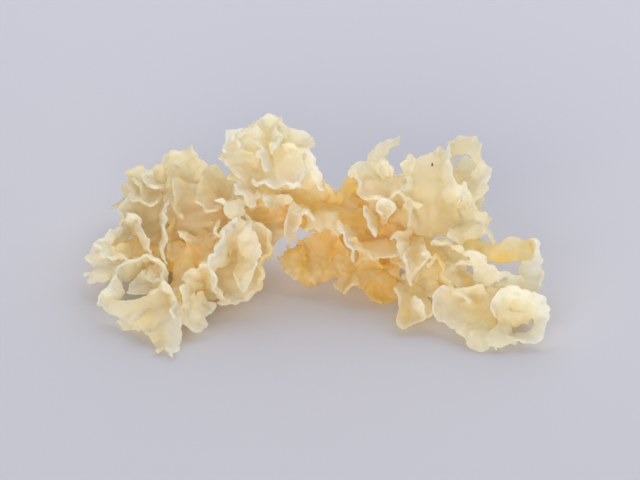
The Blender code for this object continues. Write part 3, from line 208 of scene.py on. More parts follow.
CROWN = {
    "peak": ([(-12.6, 32.4, 28), (-12.2, 33.6, 28.6), (-11.6, 34.6, 29.2), (-10.2, 34.9, 29.6),
         (-9, 34.2, 29), (-8, 33, 28)], [(-10.4, 29.6, 21.5)], 0.6),
    "top_right": ([(-8, 33, 28), (-6, 32.1, 27.2), (-4, 32.3, 27), (-2.8, 31.4, 26), (-2, 30, 24.6),
         (-1.6, 28, 22.8)], [(-6.6, 27, 19)], 0.8),
    "right": ([(-1.6, 28, 23), (-1.2, 26, 21.4), (-0.6, 24.2, 20), (1, 22.4, 18.2), (2.4, 20.4, 16.4)],
        [(-5, 22.6, 15.5)], 0.5),
    "left_fold": ([(-19, 27.6, 22), (-19.3, 29.8, 24), (-18.4, 31, 25.2), (-17, 31.8, 26),
         (-15, 32.4, 26.8), (-12.8, 32.4, 27)], [(-13.6, 27.6, 19)], 0.8),
    "left_rim": ([(-16.2, 30.6, 26), (-16.6, 29, 25), (-17.6, 27.6, 23.6)], [(-14, 27.2, 19.5)], 0.3),
    "cup": ([(-16.2, 30, 25.6), (-15.6, 31.2, 26.2), (-14, 31.6, 26.2), (-12.2, 30.8, 26),
         (-11.8, 29, 25.2), (-13, 27.6, 24.4)], [(-13.4, 28.8, 20)], -0.5),
    "flap": ([(-8.2, 32.4, 28.4), (-7.4, 30.6, 27), (-7.4, 28.8, 26), (-8, 27.2, 24.8)],
        [(-9.8, 31.6, 25), (-9.8, 29.4, 23.2), (-9.8, 27.8, 22)], 0.4),
    "ear": ([(-11.4, 28.8, 25.2), (-12.4, 27, 24.2), (-12.1, 25, 22.6), (-10.8, 23.4, 21)],
        [(-10, 28.4, 22.4), (-10.2, 26.4, 21), (-9.6, 24.6, 19.8)], 0.5),
    "face": ([(-2.8, 26.2, 22), (-3.4, 24, 20.6), (-4.6, 21.4, 18.9), (-6.2, 20.1, 17.8),
         (-7.8, 20.6, 18.2), (-9.6, 19.5, 17.2), (-11.4, 20.4, 17.6), (-13.2, 20.8, 18),
         (-14.4, 22.2, 18.8)],
        [(-3.4, 28.2, 21.8), (-6.2, 27, 21.2), (-9.2, 25.4, 20), (-12.2, 24, 18.8)], 1.0),
    "dip": ([(-9.2, 27.2, 24), (-7, 28.2, 24.6), (-4.8, 28.6, 24.6), (-2.6, 27.4, 23.4)],
        [(-8.4, 25.4, 20.6), (-6, 26, 21), (-3.6, 26.6, 21)], -0.4),
    "tan_leaf": ([(-19, 25.2, 19.6), (-17.8, 23.6, 19), (-16.8, 22.6, 18.6), (-16, 21.2, 18),
         (-16.2, 20, 17.2), (-15.6, 18.2, 16)], [(-12.6, 23.4, 15.5)], 0.8),
    "tip_left": ([(-14.6, 19.8, 17), (-13.8, 18, 16), (-12.8, 16.6, 15.2), (-12, 18, 15.8)],
        [(-12.6, 20.6, 14)], 0.3),
    "tip_right": ([(-12, 19.6, 16.6), (-11.4, 17.6, 15.4), (-10.4, 16.6, 14.9), (-9.8, 18.4, 15.8)],
        [(-10.6, 20.4, 14)], 0.3),
    "curl": ([(-10, 16.8, 15), (-9, 18.4, 15.8), (-7.8, 18.9, 16), (-6.2, 17.8, 15.2)],
        [(-8, 16.2, 12)], 0.4),
    "wall": ([(-18.4, 29.6, 22.6), (-19, 26, 19.6), (-17.6, 22.4, 16.8), (-15, 19, 14.6)],
        [(-4, 31, 23.4), (-2.4, 27, 20.4), (-1.6, 23.4, 17.8), (-1, 20, 15)], 1.0),
}
NECK = {
    "white_tongue": ([(-7.4, 14.6, 13), (-7, 11.6, 10), (-6.1, 9.2, 7.4), (-4.8, 10.8, 9), (-3.8, 13, 11.4),
         (-3.6, 15.6, 13.8)], [(-5.6, 17, 13.6)], 0.6),
    "tongue_rim": ([(-5.8, 16.8, 15), (-4, 15.4, 14.2), (-3, 14, 13.2), (-1.6, 13.8, 12.8)],
        [(-2.4, 16, 11)], 0.4),
    "top": ([(-0.6, 21.6, 15.6), (2.4, 20.3, 15), (4, 21.1, 15.4), (6, 22, 16), (7.2, 23, 16.6)],
        [(3, 16.6, 11)], 0.6),
    "front": ([(-3.2, 12.6, 12.2), (0, 12.2, 12.2), (1.8, 11.8, 12), (3.6, 12.7, 12.6), (6, 12.8, 12.6)],
        [(1, 16, 10.6)], 0.8),
    "curl": ([(3.4, 12.4, 12.2), (4, 10.4, 11.2), (4.8, 8.6, 10), (5.5, 7, 8.8), (5.6, 5.4, 7.6)],
        [(5.8, 13, 10.8), (6.8, 11.2, 9.8), (6.8, 8.8, 8.6), (6.4, 6.6, 7.2)], 0.5),
    "curl_back": ([(6, 10.4, 10.6), (8, 9, 10), (9.8, 6.2, 8.4)], [(7.6, 12, 8.8)], 0.3),
    "low_left": ([(-2.6, 7.8, 7), (-5.4, 8.1, 7), (-7.4, 6.8, 6), (-7.9, 4.8, 4.8), (-6.6, 2.9, 3.6),
         (-4.4, 2.1, 3), (-2.2, 2.4, 3)], [(-1.6, 5.4, 4.4)], 0.9),
    "low_middle": ([(-2.4, 2.5, 3), (0, 1.6, 2.6), (3, 1.5, 2.6), (5.2, 2.4, 3.2)], [(1.4, 6, 4.6)], 0.8),
    "low_top": ([(-4, 9.4, 8.4), (-1.6, 10.4, 9), (1.6, 10.6, 9.4), (4, 9.4, 9), (5, 7, 7.8)],
        [(0.6, 6, 4.4)], 0.7),
    "low_right": ([(4.8, 3, 4), (6.4, 0.8, 2.6), (8.6, -0.4, 1.8), (11, -1.7, 1.4), (13.8, -2, 1.4),
         (16, -0.4, 2.6)], [(10.4, 4.6, 5)], 0.8),
    "low_step": ([(5.2, 4.4, 6), (7.8, 6.8, 8), (11, 7.2, 8.2), (14.4, 6.2, 7.6)], [(10, 3.4, 4)], 0.5),
    "blade": ([(8.8, 16.8, 14.6), (9.3, 14.6, 13.8), (10.3, 12.2, 12.8), (11.4, 10.6, 12)],
        [(11, 14.6, 10)], 0.3),
    "spoon": ([(12.2, 14.8, 13.4), (11.1, 16, 14.5), (11.6, 17.4, 15.6), (13.5, 17.7, 15.8),
         (14.3, 16.4, 14.8), (13.7, 15.1, 13.8)], [(12.8, 13.4, 11)], -0.4),
    "shelf": ([(6.8, 8.6, 9.6), (9.4, 6.9, 9), (12.4, 6.3, 8.8), (15.2, 6.8, 9), (16.6, 8.2, 9.6)],
        [(12, 11, 8)], 0.5),
    "hook": ([(13.8, 10.2, 11.6), (15.2, 11, 12.2), (16, 13, 13.2)], [(17, 10, 8)], 0.3),
    "post": ([(16.2, 12.6, 13), (16.8, 10, 11.6), (16.4, 7.4, 10)], [(18.2, 9.6, 7)], 0.3),
    "web": ([(-8.6, 20.4, 14.2), (-4.4, 19.6, 13.6), (-1, 20.6, 14), (2.6, 19.8, 13.6), (6, 21, 14),
         (9.6, 21, 14)],
        [(-7.6, 13.4, 9.6), (-4, 12.4, 9.2), (-0.6, 11.6, 8.8), (2.6, 11.4, 8.8), (6, 11.4, 8.8),
         (10, 11.6, 9)], 1.0),
    "low_web": ([(-6.4, 4.4, 3.6), (-2, 2.8, 2.4), (2.6, 2.4, 2.2), (7, 1, 1.8), (11, -0.6, 1.4),
         (15, 0, 2)],
        [(-4, 10, 7.6), (-0.6, 10.8, 8), (3, 11, 8.2), (7, 11, 8.4), (11, 11, 8.6), (15.4, 10.4, 8.6)],
         1.2),
}
RIGHT_REAR = {
    "apron": ([(6.4, 22, 16.6), (7.4, 20.6, 16), (9, 19.2, 15.6), (10.6, 18.2, 15.4), (13, 18, 15.4),
         (15.6, 19, 16.2), (17.6, 20.4, 17)], [(12.6, 22.6, 14.6)], 0.6),
    "left_crest": ([(6, 22.6, 16.6), (8, 25.3, 18.4), (10, 26, 19), (11.4, 27.4, 20), (12.6, 25.8, 19)],
        [(12, 20.6, 13)], 0.6),
    "horn": ([(10.8, 25.4, 18.6), (11.4, 28, 20.6), (12.6, 29.5, 21.6), (14.4, 30, 22), (15.8, 30.3, 22)],
        [(13.4, 23.6, 17), (13.2, 26, 19.2), (13.6, 27.8, 20.6), (14.6, 28.6, 21.2), (15.6, 28.9, 21.4)],
         0.2),
    "thorn": ([(12.6, 23.4, 18), (13.4, 26.1, 20), (14, 24.8, 19), (14.8, 23.2, 18)],
        [(13.8, 21, 14.6)], 0.2),
    "tuft": ([(16, 24.8, 18.6), (16.6, 26.6, 20), (18.2, 27, 20.2), (20, 26, 19.8), (19.8, 24.2, 18.6)],
        [(17.6, 21, 14)], 0.5),
    "panel": ([(17.8, 24.4, 19), (19.6, 25.9, 20.2), (21.4, 26.8, 21), (23.4, 27.8, 21.6),
         (24.4, 28.8, 22.2), (26.4, 29, 22.4)],
        [(16.4, 12.4, 10.2), (19, 11, 9.6), (22, 10.4, 9), (25, 11, 9.2), (28, 12, 9.8)], 1.8),
    "panel_left": ([(17.4, 22.4, 18), (16.8, 19.6, 16.4), (17, 16.6, 14.4), (17.8, 13, 12)],
        [(20.6, 17.6, 11)], 0.7),
    "band": ([(26, 29.2, 22.4), (28, 30, 23.2), (30.4, 29.8, 23.2), (31.5, 28, 22), (32.2, 26, 20.8),
         (33.4, 24.6, 19.8)],
        [(26.4, 26, 20), (27.8, 26.9, 20.8), (29.6, 26.8, 20.8), (31, 25.4, 19.6), (31.8, 23.4, 18.2)],
         0.5),
    "lapel": ([(26.2, 28.8, 22.6), (26.2, 25, 20.4), (27, 22, 18.6), (28.2, 19.4, 17), (29.6, 17.6, 15.8)],
        [(22.6, 18.6, 12.6)], 0.9),
    "blob": ([(28.4, 19, 16.8), (29.8, 19.8, 17.2), (31.2, 19, 16.6), (31.2, 17.2, 15.4),
         (29.6, 16.2, 14.4)], [(27.8, 17, 12)], 0.4),
    "flap": ([(31.6, 25.6, 20.6), (33.4, 24.8, 20), (33.9, 23, 18.8), (32.8, 21.6, 17.6)],
        [(30.4, 22, 15.6)], 0.4),
    "right_side": ([(33, 22.4, 17.8), (32.4, 19, 15.6), (31.8, 15.4, 13.2), (31.6, 12.4, 11)],
        [(27.4, 15.6, 10)], 0.9),
    "lower": ([(25, 11.6, 11.4), (27.4, 10.6, 10.8), (30, 11.2, 10.8), (33, 11.6, 10.6), (35.6, 10, 9.8)],
        [(28, 14, 8.6)], 0.6),
    "wrinkle": ([(16.4, 16.2, 14.6), (18.6, 18, 15.6), (20.4, 16.4, 14.6)], [(18.6, 14.6, 11)], 0.3),
    "wall_right": ([(33.2, 23.6, 16.6), (32.6, 19, 13.6), (32, 14.6, 10.8), (31.6, 10.8, 8.6)],
        [(22, 23.6, 15), (22, 19, 12.6), (22, 14.6, 10.4), (22.4, 10.6, 8)], 1.0),
    "wall_left": ([(7.2, 22, 13.6), (8, 18, 11.8), (10, 14, 9.8), (13, 9.6, 7.6)],
        [(21, 23.4, 15), (21, 18, 12.4), (21, 13, 9.8), (21, 9, 7.4)], 1.4),
}
RIGHT_FRONT = {
    "bar": ([(28.6, 11.8, 9.4), (31.6, 10.4, 9.6), (34.6, 9.4, 9.6), (37.6, 9.8, 10.2), (40.6, 9.7, 9.8),
         (43.2, 9.4, 9)],
        [(28.6, 7.6, 7), (31.6, 6.4, 7.4), (34.4, 5.6, 7.6), (37.4, 5.4, 7.8), (40.4, 5.8, 7.4),
         (42.8, 6.4, 7)], 0.9),
    "bar_end": ([(42.4, 10, 9.8), (43.8, 9.7, 9.4), (44.3, 7.6, 8.2), (44, 5.2, 6.8), (43.7, 2.6, 5.8)],
        [(42.2, 9, 8.2), (41.6, 7, 7), (39.9, 5, 6), (39.2, 2.8, 5.2)], 0.5),
    "arch": ([(28.2, 5.4, 8), (29.6, 6.8, 8.8), (31.2, 7.4, 9.2), (33.4, 6.8, 9), (34.6, 4.8, 8),
         (37, 2.7, 6.8)], [(31.6, 1, 4.4)], 0.5),
    "left_arch": ([(28.6, 5.8, 8.4), (26.6, 4.8, 8), (25.6, 3.4, 7.4), (26.8, 1.4, 6.6)],
        [(24, 4.4, 6.4)], 0.3),
    "right_post": ([(42.4, 5.6, 6.8), (43.5, 3.4, 6.2), (44, 0.6, 5.8)], [(40.6, 0.6, 4)], 0.4),
    "bridge": ([(36.6, 2.9, 6.8), (39.4, 2.2, 6.4), (42, 2.7, 6.4), (44, 2, 6.2)],
        [(36.8, -0.4, 4.6), (39.8, -1, 4.4), (43, -0.8, 4.6)], 0.4),
    "pointed": ([(16.6, 8, 10.6), (17, 4.6, 8.6), (18, 1.2, 6.2), (19.6, 3, 7.4), (20.9, 5.6, 9),
         (19.6, 7.8, 10)], [(18.8, 8.2, 8)], 0.5),
    "hollow": ([(20.8, 4.6, 8), (22.6, 5.8, 8.6), (24.6, 4.6, 8.4), (25.2, 1.6, 7)],
        [(22.8, 2.4, 4)], -0.5),
    "small_cup": ([(14, 0.4, 6.2), (14.4, -2.4, 4.6), (15, -5.8, 2.6), (16.8, -6.9, 1.8), (18.6, -6.8, 1.8),
         (20.4, -5.8, 2.4), (22.2, -4.6, 3.4)],
        [(15.8, 1.8, 5.6), (18.2, 1, 5.2), (20.2, 0.6, 5), (21.6, -0.6, 4.6)], 0.8),
    "cup_post": ([(19.2, -2.2, 5.6), (19.9, -3.8, 4.8), (19.4, -5.4, 3.6)], [(17.6, -2.6, 4)], 0.2),
    "big_cup": ([(25, 0.8, 7.4), (23.2, -0.4, 6.8), (22.2, -2.4, 5.6), (22.3, -4.6, 4), (24, -5.4, 3.2),
         (25.8, -6.8, 2.2), (27.4, -9.4, 1)], [(30.6, -3.6, 2.8)], 0.9),
    "cup_edge": ([(25.4, 0.6, 7.2), (27.2, -0.8, 6.4), (29.4, -2.4, 5.2)],
        [(29.6, 1.2, 4), (31, -0.6, 3.6)], 0.4),
    "round_cup": ([(33.4, -4.4, 5.8), (33.9, -1.8, 7.4), (35.6, -0.2, 8.6), (38, 0.5, 9), (41, 0.2, 9),
         (43.8, -1.2, 8), (45, -3.4, 6.6)], [(35.6, -6.2, 3), (38.6, -6, 2.8), (41.8, -5.6, 3.2)], -0.5),
    "cup_back": ([(35, -1.2, 7.4), (37.6, -0.4, 8), (40.8, -0.6, 8), (43.6, -2, 7)],
        [(35.6, -1.6, 3), (38.6, -1.8, 2.2), (42, -2.4, 2.4)], 0.6),
    "cup_low": ([(45, -3.2, 6.4), (45.2, -5.4, 5), (44.6, -7.6, 3.6), (43.2, -9.6, 2.4), (41, -10.5, 1.6),
         (38.2, -9.6, 1.8)],
        [(42.2, -3.6, 4.4), (42.4, -5.4, 3.6), (42, -7, 2.8), (40.8, -8.2, 2), (38.8, -8, 2)], 0.5),
    "cup_fold": ([(34.8, -3.8, 5.2), (37.2, -5, 4.6), (40.2, -4.6, 4.8), (42.8, -3.6, 5.2)],
        [(36, -6.4, 3), (38.4, -6.8, 2.4), (41, -6.2, 3)], 0.3),
    "bottom_lobe": ([(33.4, -7.6, 3), (34.2, -10.2, 1.4), (36.4, -11.2, 0.8), (38.6, -10, 1.4),
         (39, -7.8, 2.8)], [(35.8, -5.8, 3.6)], 0.5),
    "veil": ([(27.2, -9, 1.6), (28.4, -10.9, 0.8), (30, -12.1, 0.3), (31.8, -12.5, 0), (34.4, -11.7, 0.3),
         (36, -10.6, 0.9)], [(31.8, -7, 3)], 0.4),
    "knuckle": ([(21.4, 8, 10), (24, 9, 10.4), (26.6, 8.4, 10), (28.6, 6.6, 9)], [(24.6, 9.6, 7.4)], 0.5),
    "lining": ([(26, -0.4, 6.6), (29.4, 0.2, 6.4), (33, 0.6, 7)], [(30.4, -4.2, 2.6)], -0.4),
    "web": ([(14.6, 10, 8), (15.6, 5.4, 5.6), (17, -0.6, 3.2)],
        [(29.6, 9.6, 8), (29.8, 6, 6.2), (26.6, -0.8, 3.4)], 1.0),
    "cup_web": ([(26.4, -1.4, 4.8), (25.6, -5, 3.2), (27.6, -9, 1.6)],
        [(34.8, 0.4, 5.4), (34.6, -4.4, 3.4), (34.4, -9.6, 1.4)], 0.6),
}

# Fronds out of sight from the front, by the limb that they grow from: how far along it,
# heading and lift in degrees (0 heads right, 90 heads back), reach and width in mm
FANS = {
    "left": [(0.15, 95, -15, 9, 11), (0.3, 85, -45, 10, 11), (0.45, 100, -20, 11, 12),
        (0.6, 80, -55, 9, 10), (0.75, 110, -30, 10, 11), (0.95, 150, -25, 8, 10), (0.95, 200, 5, 6, 9),
        (0.3, 270, -50, 8, 10), (0.15, 285, -40, 6, 8)],
    "left_rear": [(0.3, 60, 0, 9, 11), (0.5, 80, -40, 11, 12), (0.5, 95, 15, 8, 11),
        (0.75, 110, -15, 8, 11), (0.95, 120, 5, 6, 9), (0.95, 150, -35, 9, 11), (0.8, 190, -20, 6.5, 8),
        (0.6, 230, -50, 9, 10), (0.3, 30, -35, 10, 11)],
    "left_front": [(0.4, 340, -30, 7, 9), (0.6, 300, -20, 6, 8), (0.9, 190, -15, 6, 8),
        (0.6, 160, -25, 8, 9)],
    "crown": [(0.2, 70, -45, 9, 10), (0.35, 90, -20, 9, 11), (0.45, 140, 5, 8, 10), (0.45, 40, 0, 8, 10),
        (0.7, 100, 10, 8, 11), (0.75, 60, 5, 7, 9), (0.8, 150, 20, 7, 9), (0.95, 85, 30, 6, 9)],
    "neck": [(0.3, 90, 10, 6, 9), (0.45, 85, -35, 8, 10), (0.6, 95, 5, 7, 9), (0.75, 80, -30, 9, 10),
        (0.9, 100, 10, 7, 9)],
    "neck_low": [(0.5, 270, -20, 5, 8), (0.8, 100, -10, 6, 8), (1.0, 180, -10, 5, 8)],
    "right_rear": [(0.2, 95, -35, 10, 11), (0.35, 85, 0, 9, 11), (0.45, 100, -55, 13, 11),
        (0.6, 75, -20, 10, 12), (0.75, 60, -50, 14, 12), (0.8, 90, 15, 8, 11), (0.9, 40, 0, 5, 9),
        (0.95, 100, -15, 9, 11), (0.95, 10, -30, 5, 9), (0.7, 20, -45, 7, 10)],
    "right_front": [(0.3, 80, -25, 9, 10), (0.45, 60, -35, 8, 9), (0.6, 45, -25, 8, 10),
        (0.8, 40, -20, 7, 9), (0.95, 20, -10, 5, 8), (0.35, 250, -40, 7, 9), (0.6, 235, -30, 6, 8),
        (0.85, 250, -25, 6, 8)],
}
FAN_STEPS = 100  # places along a limb that fans can grow from
FAN_POINTS = 9  # on a fan's rim
FAN_ROUND = 1.8  # radians, how far its reach falls away to the sides
FAN_LOBE = 0.2  # how far its reach comes and goes, as a share
FAN_LOBES = (7, 1.7)  # radians of that from side to side, and from fan to fan
FAN_WAVE = 1.5  # mm, how far a fan's rim waves up and down
FAN_WAVES = (9, 2.1)  # the same radians for the waves
FAN_FLOOR = 0.4  # mm, the least height of a fan's rim
FAN_FORM = (0.8, 0.7, 0.4)  # bulge in mm, share of waves and creases, paleness of the rim
FAN_GEL = 0.5  # how amber it is, as a share of its limb

# Fillers: small fans between the large fronds, drawn at random along a limb
FILLERS = 0.45  # on each mm of it
FILLER_STEPS = 200
# Ranges of heading and lift in degrees, reach beyond the limb and width in mm
FILLER_SPREAD = ((15, 165), (-60, 10), (1.0, 3.0), (5.0, 8.0))
FILLER_FORM = (0.4, 0.6, 0.3)
FILLER_GEL = 0.8
BARE_LIMBS = ("foot", "heel")  # without fillers

PIECE_SEEDS = 100  # random seeds set aside for each piece
LIMB_SEEDS = 20  # for each limb and its fans
FILLER_SEEDS = 1000  # for its fillers

THROUGH = 0.78  # share of the light that goes through a frond's skin
GLOSS = 0.35  # how much the skin shines, and how rough that shine is
ROUGHNESS = 0.48
CORE = (0.991, 0.958, 0.80, 1.0)  # the skin's colours from the root of a frond ...
FACE = (0.997, 0.98, 0.89, 1.0)
FACE_AT = 0.55
EDGE = (0.999, 0.99, 0.92, 1.0)  # ... to a pale rim
AMBER_TINT = (0.955, 0.825, 0.46, 1.0)  # of what an amber frond reflects
GLOW_TINT = (0.97, 0.81, 0.40, 1.0)  # of what shines through it
PAINTED_SHADE_TINT = (0.965, 0.965, 0.978, 1.0)  # of painted shade on fronds that lie in shade, which makes them duller and greyer
CLOUD_SCALE = 260.0  # of the clouds that make the amber uneven, for each metre
CLOUD_DETAIL = 3.0
CLOUD_NOISE = (0.3, 0.7)  # the noise where they are thinnest and thickest
CLOUD_RANGE = (0.3, 1.5)  # how much amber there is at those two
GRAIN_SCALE = 1400.0  # of the skin's finest grain, for each metre
GRAIN_DETAIL = 4.0
GRAIN_STRENGTH = 0.35
GRAIN_DEPTH = 0.0003  # m
SPECK = (22.4, 24.9, 19.4)  # across, up and height in mm of a dark speck on the right tuft
SPECK_SIZE = (0.2, 0.5, 0.5)  # mm from its middle to its ends: across, deep and high
SPECK_CORE = 0.6  # share of that size that is fully dark
SPECK_COLOUR = (0.09, 0.07, 0.05, 1.0)

FLOOR_WIDTH = 1400.0  # mm
FLOOR_COLOUR = (0.594, 0.574, 0.597, 1.0)
FLOOR_ROUGHNESS = 0.9
FLOOR_GLOSS = 0.2
ROOM_COLOUR = (0.80, 0.86, 1.0, 1.0)
ROOM_STRENGTH = 0.36
CAMERA_DISTANCE = 1000.0  # mm
CLIP = (0.01, 20.0)  # m, the nearest and farthest that it sees
VIEW_WIDTH = 128.0  # mm across the picture
VIEW_MIDDLE = (0.44, 5.42, 8.0)  # mm, the middle of the picture
LAMP_TARGET = (0, 0, 8)  # mm
# Each lamp: its place and size in mm, its power in watts and its colour
LAMPS = {
    "window": ((140, 400, 450), 1200, 6.3, (0.88, 0.925, 1.0)),
    "fill": ((-300, -1200, 280), 1000, 16, (1.0, 0.96, 0.90)),
}
SKIN_BOUNCES = 32  # of light that a skin scatters or lets through
ALL_BOUNCES = 40


def listed(groups):
    """A value for each name, from names grouped by value."""
    return {name: value for value, names in groups.items() for name in names.split()}


# How amber a frond is, from 0 (ivory) to 1, where it isn't as the rest of its piece
GEL_OF = listed({
    0.0: "bar_end",
    0.05: "white_tongue spoon",
    0.1: "face_left face_right",
    0.12: "hang_leaf",
    0.15: "curl cup_back",
    0.2: "tongue_rim pointed dip cup_fold",
    0.25: "hem",
    0.3: "blade big_cup ragged drip_back",
    0.35: "cup_web lining",
    0.4: "hook post",
    0.45: "right_edge",
    0.5: "strap shelf",
    0.55: "bowl",
    0.6: "flank",
    0.7: "bar small_cup",
    0.8: "hollow",
    0.95: "low_middle",
    1.0: "low_left low_right low_step",
})
# How pale its rim is, from 0 (as the frond) to 1 (nearly white), where it isn't as the rest
PALE_OF = listed({
    0.0: "bowl",
    0.15: "wrinkle",
    0.2: "dip low_left low_middle low_top low_right low_step",
    0.35: "ring",
    0.5: "dim lip cup_edge",
    0.6: "sweep",
    0.7: "lapel inner flap spoon small_cup round_cup",
    0.8: "crescent upright drip face_left cuff ragged hem tab right tongue_rim cup_post arch"
         " pointed blade shelf front",
    0.9: "face_right strap left_fold face white_tongue curl big_cup cup_low",
    1.0: "bar_end",
})
# Smoother fronds, by the share of the usual waves and creases that they have
CALM = listed({
    0.3: "blade",
    0.4: "spoon bar cup_edge",
    0.5: "upright left_fold curl wrinkle sweep horn band flap ear",
    0.6: "ring top_right peak round_cup cup_back drip bowl tan_leaf cradle big_cup white_tongue"
         " slope shelf shoulder lapel side cup_low bar_end small_cup lip",
    0.7: "panel hang_leaf",
    0.8: "wall_left wall_right web",
})

# Each piece: the node it stands for, its fronds and its limbs, how amber the fronds are, how pale
# their rims, how much painted shade dulls them, and how amber the limbs are, all from 0 to 1
PIECES = {
    "left_rear_fronds": ("left_tuft", LEFT_REAR, ["left_rear"], 0.25, 0.25, 1.0, 0.6),
    "left_front_fronds": ("left_tuft", LEFT_FRONT, ["left_front"], 0.08, 0.55, 0.0, 0.6),
    "left_middle_fronds": ("left_tuft", LEFT_MIDDLE, ["left", "foot"], 0.18, 0.5, 0.0, 0.6),
    "crown_fronds": ("crown_tuft", CROWN, ["crown"], 0.08, 0.5, 0.25, 0.5),
    "neck_fronds": ("neck", NECK, ["neck", "neck_low"], 0.85, 0.5, 0.4, 0.95),
    "right_rear_fronds": ("right_rear_tuft", RIGHT_REAR, ["right_rear"], 0.14, 0.4, 0.45, 0.5),
    "right_front_fronds":
        ("right_front_tuft", RIGHT_FRONT, ["right_front", "heel"], 0.1, 0.55, 0.0, 0.55),
}
FIELDS = ("rim", "gel", "tan")  # what the material reads at each point of a skin: rim, amber, and painted shade


def spot(across, up, height):
    """The place of an (across, up, height) point, in mm from the middle of the box."""
    rise = math.sin(math.pi * min(max((up - DOME_FOOT) / DOME_SPAN, 0), 1))
    height = height * (1 + DOME * rise)
    deep = (up - height * math.cos(LEAN)) / math.sin(LEAN)
    return np.array((across - CENTRE[0], deep - CENTRE[1], height))


def smooth_line(points, count):
    """count points at even steps along a Catmull-Rom curve through the given points."""
    points = np.array(points, float)
    if len(points) == 2:
        return points[0] + (points[1] - points[0]) * np.linspace(0, 1, count)[:, None]
    padded = np.vstack([2 * points[0] - points[1], points, 2 * points[-1] - points[-2]])
    fine = []
    for a, b, c, d in zip(padded, padded[1:], padded[2:], padded[3:]):
        for t in np.linspace(0, 1, CURVE_STEPS, endpoint=False):
            fine.append(0.5 * (2 * b + (c - a) * t + (2 * a - 5 * b + 4 * c - d) * t**2
                               + (3 * b - a - 3 * c + d) * t**3))
    fine = np.array(fine + [points[-1]])
    run = np.concatenate([[0], np.cumsum(np.linalg.norm(np.diff(fine, axis=0), axis=1))])
    steps = np.linspace(0, run[-1], count)
    return np.stack([np.interp(steps, run, fine[:, k]) for k in range(3)], axis=1)


def length_of(line):
    """The length of a line of points."""
    return np.linalg.norm(np.diff(line, axis=0), axis=1).sum()


class Swell:
    """Smooth noise in space: a sum of plane waves with headings drawn once."""

    def __init__(self, seed, size, waves=10):
        draw = np.random.default_rng(seed)
        ways = draw.normal(size=(waves, 3))
        ways /= np.linalg.norm(ways, axis=1, keepdims=True)
        self.ways = ways * (2 * math.pi / size) * draw.uniform(0.6, 1.5, (waves, 1))
        self.starts = draw.uniform(0, 2 * math.pi, waves)
        self.scale = math.sqrt(2 / waves)

    def at(self, points):
        """The noise at points in mm: mostly between -1 and 1."""
        return self.scale * np.sin(points @ self.ways.T + self.starts).sum(axis=-1)


# Noise by seed and size in mm: broad and fine bends along each axis, and two sizes of lumps
BROAD = [Swell(11 + k, 9.0) for k in range(3)]
FINE = [Swell(31 + k, 3.2) for k in range(3)]
SMALL = Swell(51, 2.2)
SMALLER = Swell(52, 1.1, 16)


def ridged(value):
    """Sharp folds instead of smooth waves: 1 along the crease, falling away to -1."""
    return 1 - 2 * np.abs(np.sin(value))


def layered(form, waves, turn, starts, share):
    """A sum of waves along a rim, each slanted by how far towards the rim a point is."""
    return sum(size * form(number * turn + start + slant * share)
               for (size, number, slant), start in zip(waves, starts))


def normals_of(grid):
    """The direction in which a grid of points faces at each of them."""
    across = np.gradient(grid, axis=1)
    along = np.gradient(grid, axis=0)
    out = np.cross(across, along)
    return out / (np.linalg.norm(out, axis=2, keepdims=True) + 1e-9)


def frond_grid(rim, root, bulge, seed, step, calm):
    """The middle surface of a frond, as rows of points from root to rim."""
    draw = np.random.default_rng(seed)
    length = length_of(smooth_line(rim, MEASURE_STEPS))
    across = int(np.clip(round(length / step), *ACROSS))
    rim = smooth_line(rim, across)
    if len(root) == 1:
        root = root[0] + ROOT_SPREAD * (rim - rim.mean(axis=0))
    else:
        root = smooth_line(root, across)
    reach = np.linalg.norm(rim - root, axis=1).mean()
    along = int(np.clip(round(reach / step), *ALONG))
    share = np.linspace(0, 1, along)[:, None]
    grid = root[None] + (rim - root)[None] * share[:, :, None]

    facing = np.cross(rim[-1] - rim[0], rim.mean(axis=0) - root.mean(axis=0))
    facing /= np.linalg.norm(facing) + 1e-9
    if facing @ TO_VIEWER < 0:
        facing = -facing
    u = np.linspace(0, 1, across)
    side = np.sin(np.pi * np.clip(u, BULGE_EDGE, 1 - BULGE_EDGE))[None, :, None]
    grid = grid + facing * bulge * np.sin(np.pi * share)[:, :, None] * side

    run = u * length
    starts = draw.uniform(0, 2 * math.pi, 6)
    tears = sum(size * np.sin(run / radian + start) for (size, radian), start in zip(TEARS, starts))
    grid = grid + (rim - root)[None] * (TEAR * calm * tears[None, :] * share**TEAR_POWER)[:, :, None]

    out = normals_of(grid)
    turn = 2 * math.pi * run / FRILL_LENGTH
    frill = FRILL * share**FRILL_POWER * layered(np.sin, FRILLS, turn, starts[3:5], share)
    creases = CREASE * np.sin(np.pi * share) ** 0.5 * layered(ridged, CREASES, turn, starts[[5, 2]], share)
    curl = draw.uniform(-CURL, CURL) * np.clip((share - (1 - CURL_SHARE)) / CURL_SHARE, 0, 1) ** 2
    grid = grid + calm * out * (frill + creases + curl)[:, :, None]
    held = (ROOT_CRUMPLE + (1 - ROOT_CRUMPLE) * share)[:, :, None]
    bend = np.stack([swell.at(grid) for swell in BROAD], axis=-1) * CRUMPLE
    bend = bend + np.stack([swell.at(grid) for swell in FINE], axis=-1) * FINE_CRUMPLE
    return grid + calm * bend * held


